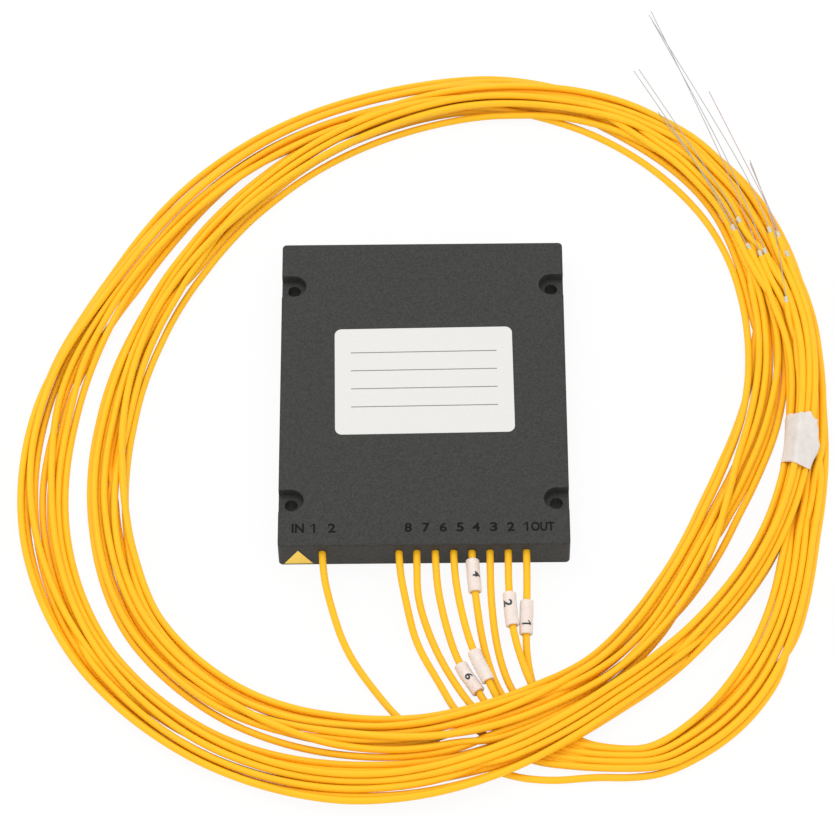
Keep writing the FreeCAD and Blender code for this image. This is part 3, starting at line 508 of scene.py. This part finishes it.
@functools.lru_cache(maxsize=None)
def settled_coil():
    """Angles of the sections, which of them each cable has, and the cables' settled radii and heights."""
    steps = SECTIONS * TURNS
    angles = FIRST_ANGLE + ANGLE_STEP * np.arange(steps)
    count = len(CABLE_ORDER)
    ends = np.array([turning_angle(LOOSE_ENDS[name][0]) for name in CABLE_ORDER])
    used = angles[None, :] < ends[:, None] - LAST_SECTION
    inner = bundle_edge(1, angles) + CABLE_RADIUS
    outer = bundle_edge(2, angles) - CABLE_RADIUS
    aim = lane_radii(angles, ends, inner, outer)
    floor, ceiling, pull = coil_limits(angles)
    # Where the bundle runs at a slant to the circle, cables lie closer than their radii say.
    centre = (inner + outer) / 2
    slope = np.gradient(centre, np.radians(ANGLE_STEP)) / centre
    squeeze = 1 / np.sqrt(1 + slope ** 2)

    # Stripped ends stay where they are and the cables make room for them.
    held = np.zeros_like(used)
    held_radius, held_height, reach = (np.full(used.shape, CABLE_GAP / 2) for table in range(3))
    for k, name in enumerate(CABLE_ORDER):
        held_radius[k], held_height[k], tip = loose_end(name, angles)
        held[k] = ~used[k] & (angles < tip)
        reach[k, angles > ends[k]] = LOOSE_END_REACH

    # All turns that pass one place round the coil stand side by side in a folded table.
    def fold(values):
        values = np.broadcast_to(values, (count, steps))
        return values.reshape(count, TURNS, SECTIONS).transpose(2, 1, 0).reshape(SECTIONS, -1)

    def unfold(values):
        return values.reshape(SECTIONS, TURNS, count).transpose(2, 1, 0).reshape(count, steps)

    shape = fold(squeeze)
    live = fold(used)
    radius = aim.copy()
    height = unfold(drop(fold(aim) * shape, fold(start_levels(angles)), fold(floor), live))
    same = np.eye(count * TURNS, dtype=bool)[None]
    solid, size = fold(used | held), fold(reach)
    pair_live = solid[:, :, None] & solid[:, None, :] & ~same
    pair_gap = size[:, :, None] + size[:, None, :]
    both = (shape[:, :, None] + shape[:, None, :]) / 2
    for step in range(SETTLE_STEPS):
        stiff = STIFFNESS if step < STIFF_STEPS else LATE_STIFFNESS
        height -= SINK
        radius += pull * (aim - radius)
        radius[held], height[held] = held_radius[held], held_height[held]
        blend = 0.5 * (height[:, :-2] + height[:, 2:])
        height[:, 1:-1] += stiff * (blend - height[:, 1:-1])
        for push in range(PUSHES):
            a = fold(radius)
            b = fold(height)
            across = (a[:, :, None] - a[:, None, :]) * both
            above = b[:, :, None] - b[:, None, :]
            apart = np.maximum(np.hypot(across, above), TINY)
            shove = np.where(pair_live, np.maximum(pair_gap - apart, 0) / apart * PUSH_SHARE, 0)
            radius = unfold(a + (shove * across).sum(axis=2) / shape)
            height = unfold(b + (shove * above).sum(axis=2))
            radius[held], height[held] = held_radius[held], held_height[held]
        radius = np.where(held, radius, np.clip(radius, inner - EDGE_SLACK, outer + EDGE_SLACK))
        radius[:, 0] = aim[:, 0]
        height = np.maximum(np.minimum(height, ceiling), floor)
    return angles, used, radius, height


# ---- general helpers
def new_object(name, data):
    """Object of some data, linked to the scene."""
    piece = bpy.data.objects.new(name, data)
    bpy.context.scene.collection.objects.link(piece)
    return piece


def mesh_piece(name, builder, material, smooth=True):
    """Mesh object made by a bmesh builder."""
    mesh = bpy.data.meshes.new(name)
    work = bmesh.new()
    builder(work)
    for face in work.faces:
        face.smooth = smooth
    work.to_mesh(mesh)
    work.free()
    mesh.materials.append(material)
    piece = new_object(name, mesh)
    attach(piece, "root")
    return piece


def grained_material(name, colour, roughness, spread, grain, relief, **extra):
    """Principled material with a fine irregular grain in its colour and its surface.

    The spread is the share by which its tone varies, the grain its size in metres, the relief the
    strength of its bumps, and what else is given sets other inputs of the shader.
    """
    material = bpy.data.materials.new(name)
    material.use_nodes = True
    nodes, links = material.node_tree.nodes, material.node_tree.links
    shader = nodes["Principled BSDF"]
    shader.inputs["Roughness"].default_value = roughness
    for socket, value in extra.items():
        shader.inputs[socket.replace("_", " ")].default_value = value
    place = nodes.new("ShaderNodeTexCoord")
    tone = nodes.new("ShaderNodeTexNoise")
    tone.inputs["Scale"].default_value = 1 / grain
    tone.inputs["Detail"].default_value = 3.0
    links.new(place.outputs["Object"], tone.inputs["Vector"])
    mix = nodes.new("ShaderNodeMix")
    mix.data_type = "RGBA"
    mix.inputs["A"].default_value = (*[c * (1 - spread) for c in colour], 1)
    mix.inputs["B"].default_value = (*[min(1.0, c * (1 + spread)) for c in colour], 1)
    contrast = nodes.new("ShaderNodeMapRange")
    contrast.inputs["From Min"].default_value = 0.3
    contrast.inputs["From Max"].default_value = 0.7
    links.new(tone.outputs["Fac"], contrast.inputs["Value"])
    links.new(contrast.outputs["Result"], mix.inputs["Factor"])
    links.new(mix.outputs["Result"], shader.inputs["Base Color"])
    rough = nodes.new("ShaderNodeTexNoise")
    rough.inputs["Scale"].default_value = 1.7 / grain
    rough.inputs["Detail"].default_value = 4.0
    links.new(place.outputs["Object"], rough.inputs["Vector"])
    bump = nodes.new("ShaderNodeBump")
    bump.inputs["Strength"].default_value = relief
    bump.inputs["Distance"].default_value = 0.15 * grain
    links.new(rough.outputs["Fac"], bump.inputs["Height"])
    links.new(bump.outputs["Normal"], shader.inputs["Normal"])
    return material


def nurbs_cable(name, points, radius, material, steps=6, sides=3):
    """Round cable along one open NURBS spline."""
    curve = bpy.data.curves.new(name, "CURVE")
    curve.dimensions = "3D"
    curve.bevel_depth = radius
    curve.bevel_resolution = sides
    curve.use_fill_caps = True
    spline = curve.splines.new("NURBS")
    spline.points.add(len(points) - 1)
    for target, point in zip(spline.points, points):
        target.co = (*point, 1)
    spline.order_u = 3
    spline.use_endpoint_u = True
    spline.resolution_u = steps
    curve.materials.append(material)
    piece = new_object(name, curve)
    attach(piece, "root")
    return piece


def cord_line(piece):
    """Points along the middle of a cord, with their distance from its start."""
    data = piece.data.copy()
    data.bevel_depth = 0.0
    bare = bpy.data.objects.new("line", data)
    mesh = bpy.data.meshes.new_from_object(bare)
    points = np.array([vertex.co[:] for vertex in mesh.vertices])
    bpy.data.objects.remove(bare)
    bpy.data.curves.remove(data)
    bpy.data.meshes.remove(mesh)
    steps = np.linalg.norm(np.diff(points, axis=0), axis=1)
    return points, np.concatenate([[0], np.cumsum(steps)])


def line_frame(line, distance):
    """Point on a line, its heading away from the start, and the up and right directions there."""
    points, along = line
    place, before, after = (
        Vector([np.interp(distance + shift * MM, along, points[:, axis]) for axis in range(3)])
        for shift in (0, -0.5, 0.5))
    heading = (after - before).normalized()
    up = (Vector((0, 0, 1)) - heading * heading.z).normalized()
    return place, heading, up, up.cross(heading)


def glyph_mesh(text, height, width):
    """Flat mesh of a short text, centred, of the given height and width in metres."""
    if text == "1":
        mesh = bpy.data.meshes.new("glyph")
        mesh.from_pydata([(*point, 0) for point in ONE_OUTLINE], [], [range(len(ONE_OUTLINE))])
    else:
        data = bpy.data.curves.new("glyph", "FONT")
        data.body = text
        data.resolution_u = 6
        data.offset = MARK_WEIGHT
        source = bpy.data.objects.new("glyph", data)
        mesh = bpy.data.meshes.new_from_object(source)
        bpy.data.objects.remove(source)
        bpy.data.curves.remove(data)
    points = np.array([vertex.co[:2] for vertex in mesh.vertices])
    low, high = points.min(axis=0), points.max(axis=0)
    points = (points - (low + high) / 2) / (high - low) * (width, height)
    for vertex, point in zip(mesh.vertices, points):
        vertex.co = (*point, 0)
    return mesh


def way_out(index):
    """Points by which a cable passes under the coil and comes out beside it."""
    if index == 0:
        return [polar_point(angle, radius, CABLE_RADIUS) for angle, radius in WAY_OUT_IN]
    share = (index - 1) / (len(CABLE_ORDER) - 2)
    layer = FLAT_LAYERS[FIRST_LANES[index]]
    points = []
    for first, last, lift in zip(WAY_OUT_8, WAY_OUT_1, WAY_OUT_LIFTS):
        angle, radius = (a + (b - a) * share for a, b in zip(first, last))
        points.append(polar_point(angle, radius, CABLE_RADIUS + lift * layer))
    return points


def cable_points(index, angles, used, radius, height):
    """Control points of one cable, from its ferrule through the coil to its jacket's end."""
    name = CABLE_ORDER[index]
    points = [Vector(point) for point in ROUTES[name]]
    under = way_out(index)
    between = (points[-1] + under[0]) / 2 + Vector((*WAY_UNDER_SHIFT, 0))
    between.z = CABLE_RADIUS * MM
    points += [between, *under]
    for step in np.nonzero(used[index])[0]:
        points.append(polar_point(angles[step], radius[index, step], height[index, step]))
    ending, heading = loose_points(name)
    back, down = JACKET_DIP
    return points + [ending[0] - heading * back - Vector((0, 0, down)), ending[0]]


# ---- builders of the small pieces
def hull_ring(centres, reach, count, corners=24):
    """Evenly spaced points round the outline of a bundle of round cables, from its lowest point on."""
    spots = sorted({
        (round(x + reach * math.cos(turn), 5), round(z + reach * math.sin(turn), 5))
        for x, z in centres for turn in np.linspace(0, 2 * math.pi, corners, endpoint=False)})
    outline = []
    for order in (spots, spots[::-1]):
        half = []
        for spot in order:
            while len(half) > 1 and np.cross(
                    np.subtract(half[-1], half[-2]), np.subtract(spot, half[-1])) <= 0:
                half.pop()
            half.append(spot)
        outline += half[:-1]
    ring = np.array(outline + outline[:1])
    steps = np.concatenate([[0], np.cumsum(np.linalg.norm(np.diff(ring, axis=0), axis=1))])
    middle = (ring.min(axis=0) + ring.max(axis=0)) / 2
    turns = np.unwrap(np.arctan2(ring[:, 1] - middle[1], ring[:, 0] - middle[0]))
    start = np.interp(turns[0] + (-math.pi / 2 - turns[0]) % (2 * math.pi), turns, steps)
    wanted = (start + np.linspace(0, steps[-1], count, endpoint=False)) % steps[-1]
    return np.stack([np.interp(wanted, steps, ring[:, axis]) for axis in (0, 1)], axis=1)


def tape_end(profile, across, upper):
    """How far a cut end of the tape stands out at a place across the bundle, above or below it."""
    start, steps, below = profile
    return start + sum(size * ramp(across, *span) for size, *span in steps) + below * (1 - upper)


def tape_builder(work):
    """Strip of tape round the last bundle, its ends stuck together as a loose outer fold."""
    angles, used, radius, height = settled_coil()
    random = np.random.default_rng(RAGGED_SEED)
    count, rows = TAPE_GRID
    ragged = np.cumsum(random.normal(0, RAGGEDNESS, (2, count + 1)), axis=1)
    rings = []
    for share in np.linspace(0, 1, rows + 1):
        # A cable's line runs through the mean of its sections over one step.
        around = angle_at(TAPE_ENDS, share) + np.linspace(-0.5, 0.5, 9) * ANGLE_STEP
        centres = [
            tuple(np.interp(around, angles, line).mean() for line in lines)
            for lines in zip(radius, height)]
        ring = hull_ring(centres, CABLE_RADIUS + TAPE_THICKNESS, count)
        rings.append(np.concatenate([ring, ring[:1]]))
    bmesh.ops.create_grid(work, x_segments=count, y_segments=rows, size=0.5)
    for vertex in work.verts:
        k, row = (round((c + 0.5) * n) for c, n in ((vertex.co.x, count), (vertex.co.y, rows)))
        share = row / rows
        x, z = rings[row][k]
        low, high = rings[row].min(axis=0), rings[row].max(axis=0)
        across = (x - low[0]) / (high[0] - low[0])
        fold = ramp(across, FOLD_FROM, 1.0) * np.interp(share, *zip(*TAPE_FOLD))
        x += fold
        z += ((low[1] + high[1]) / 2 - z) * FOLD_PRESS * min(fold, 1)
        upper = ramp(z, low[1], high[1])
        head = tape_end(TAPE_HEAD, across, upper) + ragged[0, k % count]
        foot = tape_end(TAPE_FOOT, across, upper) + ragged[1, k % count]
        slide = head * ramp(share, HEAD_FROM, 1.0) + foot * (1 - ramp(share, 0.0, FOOT_TO))
        turned = angle_at(TAPE_ENDS, share) + math.degrees(slide / x)
        vertex.co = polar_point(turned, x, max(z, TAPE_FLOOR))
    bmesh.ops.remove_doubles(work, verts=work.verts[:], dist=TINY)
    bmesh.ops.recalc_face_normals(work, faces=work.faces[:])
    bmesh.ops.solidify(work, geom=work.faces[:], thickness=-TAPE_THICKNESS * MM)
    bmesh.ops.recalc_face_normals(work, faces=work.faces[:])


def sleeve_builder(line, middle):
    """Builder of a short open tube along a line, round a distance from its start."""
    half = SLEEVE_LENGTH / 2

    def build(work):
        bmesh.ops.create_cone(
            work, cap_ends=False, segments=SLEEVE_SIDES, radius1=SLEEVE_RADIUS,
            radius2=SLEEVE_RADIUS, depth=SLEEVE_LENGTH)
        for cut in np.linspace(-half, half, SLEEVE_RINGS + 1)[1:-1]:
            bmesh.ops.bisect_plane(
                work, geom=work.verts[:] + work.edges[:] + work.faces[:], plane_co=(0, 0, cut),
                plane_no=(0, 0, 1))
        bmesh.ops.recalc_face_normals(work, faces=work.faces[:])
        bmesh.ops.solidify(work, geom=work.faces[:], thickness=SLEEVE_RADIUS - SLEEVE_BORE)
        rims = [
            edge for edge in work.edges
            if all(abs(vertex.co.z) > half - NEAR and vertex.co.xy.length > SLEEVE_RADIUS - NEAR
                   for vertex in edge.verts)]
        bmesh.ops.bevel(
            work, geom=rims, offset=SLEEVE_RIM, offset_type="OFFSET", affect="EDGES", segments=3,
            profile=0.5, material=-1)
        share, way = SLEEVE_OVAL
        for vertex in work.verts:
            centre, heading, up, right = line_frame(line, middle + vertex.co.z * MM)
            swell = 1 + share * math.cos(2 * math.atan2(vertex.co.y, vertex.co.x) + way)
            vertex.co = centre + (up * vertex.co.x + right * vertex.co.y) * swell * MM
        bmesh.ops.recalc_face_normals(work, faces=work.faces[:])

    return build


def sleeve_mark_builder(line, middle, mark):
    """Builder of a digit that lies on a sleeve and reads away from the box."""
    text, height, width, along, around = mark

    def build(work):
        glyph = glyph_mesh(text, height * MM, width * MM)
        work.from_mesh(glyph)
        bpy.data.meshes.remove(glyph)
        for cut in np.arange(-height / 2, height / 2, SLEEVE_MARK_STEP):
            bmesh.ops.bisect_plane(
                work, geom=work.verts[:] + work.edges[:] + work.faces[:],
                plane_co=(0, cut * MM, 0), plane_no=(0, 1, 0))
        reach = (SLEEVE_RADIUS + SLEEVE_MARK_RISE) * MM
        start = middle + (along - 0.5) * SLEEVE_LENGTH * MM
        for vertex in work.verts:
            centre, heading, up, right = line_frame(line, start + vertex.co.x)
            turn = around + vertex.co.y / reach
            vertex.co = centre + (up * math.cos(turn) + right * math.sin(turn)) * reach

    return build


def port_mark_builder(work):
    """Row of flat port marks along the front of the top face, darkened with painted shade that stands in
    for the shade in their sunk recesses.
    """
    for text, x, width in PORT_MARKS:
        glyph = glyph_mesh(text, MARK_HEIGHT * MM, width * MM)
        for vertex in glyph.vertices:
            vertex.co += Vector((x, MARK_LINE, TOP_FACE + MARK_RISE)) * MM
        work.from_mesh(glyph)
        bpy.data.meshes.remove(glyph)


def label_rule_builder(work):
    """Plain write-on lines of the label."""
    turn = Matrix.Rotation(math.radians(LABEL_TURN), 4, "Z")
    centre = Vector((*LABEL_CENTRE, TOP_FACE + RULE_RISE))
    for y in LABEL_RULES:
        result = bmesh.ops.create_grid(work, x_segments=20, y_segments=1, size=0.5)
        for vertex in result["verts"]:
            vertex.co.x *= RULE_LENGTH
            vertex.co.y = vertex.co.y * RULE_WIDTH + y
            vertex.co = (turn @ vertex.co + centre) * MM


# ---- operators
class SPLITTER_OT_cables(bpy.types.Operator):
    """Nine yellow cables from the box through the coil to their stripped ends"""

    bl_idname = "splitter.cables"
    bl_label = "Cables"

    def execute(self, context):
        look = context.scene.splitter_look
        jacket = grained_material(
            "cable_jacket", look.jacket_colour, look.jacket_roughness, *JACKET_GRAIN,
            Subsurface_Weight=look.jacket_glow, Subsurface_Radius=(1.0, 0.3, 0.03),
            Subsurface_Scale=0.0025, Specular_IOR_Level=0.22)
        coil = settled_coil()
        for index, name in enumerate(CABLE_ORDER):
            points = cable_points(index, *coil)
            piece = nurbs_cable("cord_" + name, points, CABLE_DIAMETER / 2, jacket)
            replaced = ["cable_" + name]
            if name == "in":
                replaced.append("cable_coil")
            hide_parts(*replaced)
        return {"FINISHED"}


class SPLITTER_OT_tape(bpy.types.Operator):
    """Tape that holds the last bundle together"""

    bl_idname = "splitter.tape"
    bl_label = "Tape"

    def execute(self, context):
        material = grained_material(
            "tape", context.scene.splitter_look.marker_colour, *TAPE_FINISH,
            Subsurface_Weight=0.3, Subsurface_Radius=(1.0, 0.6, 0.4), Subsurface_Scale=0.0008)
        piece = mesh_piece("bundle_tape", tape_builder, material)
        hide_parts("coil_tape")
        return {"FINISHED"}


class SPLITTER_OT_sleeves(bpy.types.Operator):
    """Numbered marker sleeves on five of the cables"""

    bl_idname = "splitter.sleeves"
    bl_label = "Marker sleeves"

    def execute(self, context):
        look = context.scene.splitter_look
        material = grained_material(
            "marker_plastic", look.marker_colour, *SLEEVE_FINISH,
            Subsurface_Weight=0.4, Subsurface_Radius=(1.0, 0.6, 0.4), Subsurface_Scale=0.0008)
        ink = grained_material("marker_ink", look.ink_colour, *INK_FINISH)
        for name in CABLE_ORDER:
            node = bpy.data.objects.get("marker_sleeve_" + name)
            if node is None:
                continue
            line = cord_line(bpy.data.objects["cord_" + name])
            centre = np.mean([node.matrix_world @ vertex.co for vertex in node.data.vertices], axis=0)
            middle = line[1][np.linalg.norm(line[0] - centre, axis=1).argmin()]
            middle += SLEEVE_SLIDE.get(name, 0) * MM
            piece = mesh_piece("sleeve_" + name, sleeve_builder(line, middle), material)
            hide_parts(node.name)
            if name in SLEEVE_MARKS:
                mesh_piece(
                    "sleeve_mark_" + name, sleeve_mark_builder(line, middle, SLEEVE_MARKS[name]), ink,
                    smooth=False)
        return {"FINISHED"}


class SPLITTER_OT_ends(bpy.types.Operator):
    """Inner tubes and bare fibres of the stripped ends, which complete each cable"""

    bl_idname = "splitter.ends"
    bl_label = "Stripped ends"

    def execute(self, context):
        tube = grained_material(
            "inner_tube_end", *FINISHES["inner_tube_plastic"], Subsurface_Weight=0.4,
            Subsurface_Radius=(1.0, 0.9, 0.7), Subsurface_Scale=0.0006)
        for name in CABLE_ORDER:
            points, heading = loose_points(name)
            fibre = grained_material(
                "fibre_end_" + name, FIBRE_TINTS.get(name, FINISHES["coated_fibre"][0]),
                *FINISHES["coated_fibre"][1:])
            reaches = (-INNER_TUBE_SINK, 0, INNER_TUBE_REACH / 2, INNER_TUBE_REACH)
            stub = [points[0] + heading * reach for reach in reaches]
            piece = nurbs_cable("tube_end_" + name, stub, INNER_TUBE_RADIUS, tube)
            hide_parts("inner_tube_" + name)
            line = [stub[-1] - heading * FIBRE_SINK, *points[1:]]
            piece = nurbs_cable("fibre_end_" + name, line, FIBRE_RADIUS, fibre, steps=12, sides=2)
            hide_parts("bare_fibre_" + name)
        return {"FINISHED"}


class SPLITTER_OT_marks(bpy.types.Operator):
    """Port marks of the box and lines of the label"""

    bl_idname = "splitter.marks"
    bl_label = "Marks"

    def execute(self, context):
        look = context.scene.splitter_look
        # The port marks are flat; their dark colour is painted shade that stands in for the shade in sunk
        # marks.
        mark_shade = grained_material(
            "painted_shade_marks", look.painted_shade_colour, *PAINTED_SHADE_FINISH, Specular_IOR_Level=0.12)
        rule = grained_material("label_ink", look.rule_colour, *RULE_FINISH)
        mesh_piece("port_marks", port_mark_builder, mark_shade, smooth=False)
        mesh_piece("label_rules", label_rule_builder, rule, smooth=False)
        return {"FINISHED"}


class SPLITTER_OT_finishes(bpy.types.Operator):
    """Finishes of the solids that come from CAD"""

    bl_idname = "splitter.finishes"
    bl_label = "Finishes"

    def execute(self, context):
        finishes = {
            name: grained_material(
                name, *values, Metallic=1.0 if name in METALS else 0.0, Specular_IOR_Level=0.3)
            for name, values in FINISHES.items()}
        for part in frame["record"]["subparts"]:
            material = finishes.get(part["material_slot"])
            if material is None:
                continue
            for slot in bpy.data.objects[part["node"]].material_slots:
                slot.material = material
        return {"FINISHED"}


class SPLITTER_OT_stage(bpy.types.Operator):
    """White floor, soft lights and the camera"""

    bl_idname = "splitter.stage"
    bl_label = "Stage"

    def execute(self, context):
        stage = context.scene.splitter_stage
        mesh = bpy.data.meshes.new("floor")
        work = bmesh.new()
        bmesh.ops.create_grid(work, x_segments=1, y_segments=1, size=FLOOR_SIZE)
        work.to_mesh(mesh)
        work.free()
        floor = new_object("floor", mesh)
        mesh.materials.append(floor_material(stage.floor_shadow))

        world = bpy.data.worlds.new("studio")
        world.use_nodes = True
        background = world.node_tree.nodes["Background"]
        background.inputs["Color"].default_value = (1, 1, 1, 1)
        background.inputs["Strength"].default_value = stage.sky
        context.scene.world = world
        context.scene.view_settings.view_transform = "Standard"

        add_light("key", KEY_PLACE, KEY_SIZE, stage.key_power)
        add_light("fill", FILL_PLACE, FILL_SIZE, stage.fill_power)

        camera = bpy.data.cameras.new("camera")
        camera.sensor_width = 36.0
        camera.sensor_fit = "HORIZONTAL"
        camera.lens = CAMERA_LENS
        camera.clip_end = 10.0
        view = new_object("camera", camera)
        view.matrix_world = camera_matrix()
        context.scene.camera = view
        return {"FINISHED"}


def floor_material(shadow):
    """White floor that shows only a hint of shadow."""
    material = bpy.data.materials.new("floor")
    material.use_nodes = True
    nodes, links = material.node_tree.nodes, material.node_tree.links
    nodes.clear()
    output = nodes.new("ShaderNodeOutputMaterial")
    diffuse = nodes.new("ShaderNodeBsdfDiffuse")
    diffuse.inputs["Color"].default_value = (0.9, 0.9, 0.9, 1)
    glow = nodes.new("ShaderNodeEmission")
    glow.inputs["Strength"].default_value = 1.0
    path = nodes.new("ShaderNodeLightPath")
    seen = path.outputs["Is Camera Ray"]
    for ray in ("Is Glossy Ray", "Is Transmission Ray"):
        either = nodes.new("ShaderNodeMath")
        either.operation = "MAXIMUM"
        links.new(seen, either.inputs[0])
        links.new(path.outputs[ray], either.inputs[1])
        seen = either.outputs[0]
    amount = nodes.new("ShaderNodeMath")
    amount.operation = "MULTIPLY"
    amount.inputs[1].default_value = 1 - shadow
    links.new(seen, amount.inputs[0])
    mix = nodes.new("ShaderNodeMixShader")
    links.new(amount.outputs[0], mix.inputs[0])
    links.new(diffuse.outputs[0], mix.inputs[1])
    links.new(glow.outputs[0], mix.inputs[2])
    links.new(mix.outputs[0], output.inputs["Surface"])
    return material


def add_light(name, place, size, power):
    """Square area light that shines on the module."""
    data = bpy.data.lights.new(name, "AREA")
    data.size = size
    data.energy = power
    light = new_object(name, data)
    light.location = place
    light.rotation_euler = (-Vector(place)).to_track_quat("-Z", "Y").to_euler()


def camera_matrix():
    """Place and turn of the camera."""
    azimuth, elevation, roll = (math.radians(turn) for turn in CAMERA_TURNS)
    back = Vector((
        math.sin(azimuth) * math.cos(elevation), -math.cos(azimuth) * math.cos(elevation),
        math.sin(elevation)))
    right = Vector((math.cos(azimuth), math.sin(azimuth), 0))
    up = back.cross(right)
    level, tilt = math.cos(roll), math.sin(roll)
    turned_right = right * level + up * tilt
    turned_up = up * level - right * tilt
    matrix = Matrix((turned_right, turned_up, back)).transposed().to_4x4()
    matrix.translation = CAMERA_PLACE
    return matrix


# ---- panel and registration
class SPLITTER_PT_panel(bpy.types.Panel):
    """Splitter pieces and settings"""

    bl_idname = "SPLITTER_PT_panel"
    bl_label = "Fibre Splitter"
    bl_space_type = "VIEW_3D"
    bl_region_type = "UI"
    bl_category = "Splitter"

    def draw(self, context):
        layout = self.layout
        for group in (context.scene.splitter_look, context.scene.splitter_stage):
            for name in group.bl_rna.properties.keys():
                if name not in ("rna_type", "name"):
                    layout.prop(group, name)
        for operator in OPERATORS:
            layout.operator(operator.bl_idname)


OPERATORS = (
    SPLITTER_OT_cables,
    SPLITTER_OT_stage,
    SPLITTER_OT_tape,
    SPLITTER_OT_sleeves,
    SPLITTER_OT_ends,
    SPLITTER_OT_marks,
    SPLITTER_OT_finishes,
)
CLASSES = (SPLITTER_PG_look, SPLITTER_PG_stage, *OPERATORS, SPLITTER_PT_panel)


def register():
    """Register the classes and their settings."""
    for item in CLASSES:
        bpy.utils.register_class(item)
    bpy.types.Scene.splitter_look = PointerProperty(type=SPLITTER_PG_look)
    bpy.types.Scene.splitter_stage = PointerProperty(type=SPLITTER_PG_stage)


def unregister():
    """Remove the classes and their settings."""
    del bpy.types.Scene.splitter_look
    del bpy.types.Scene.splitter_stage
    for item in reversed(CLASSES):
        bpy.utils.unregister_class(item)


def main():
    """Register the classes and build the scene with every operator."""
    register()
    for operator in OPERATORS:
        group, name = operator.bl_idname.split(".")
        getattr(getattr(bpy.ops, group), name)()


if __name__ == "__main__":
    main()
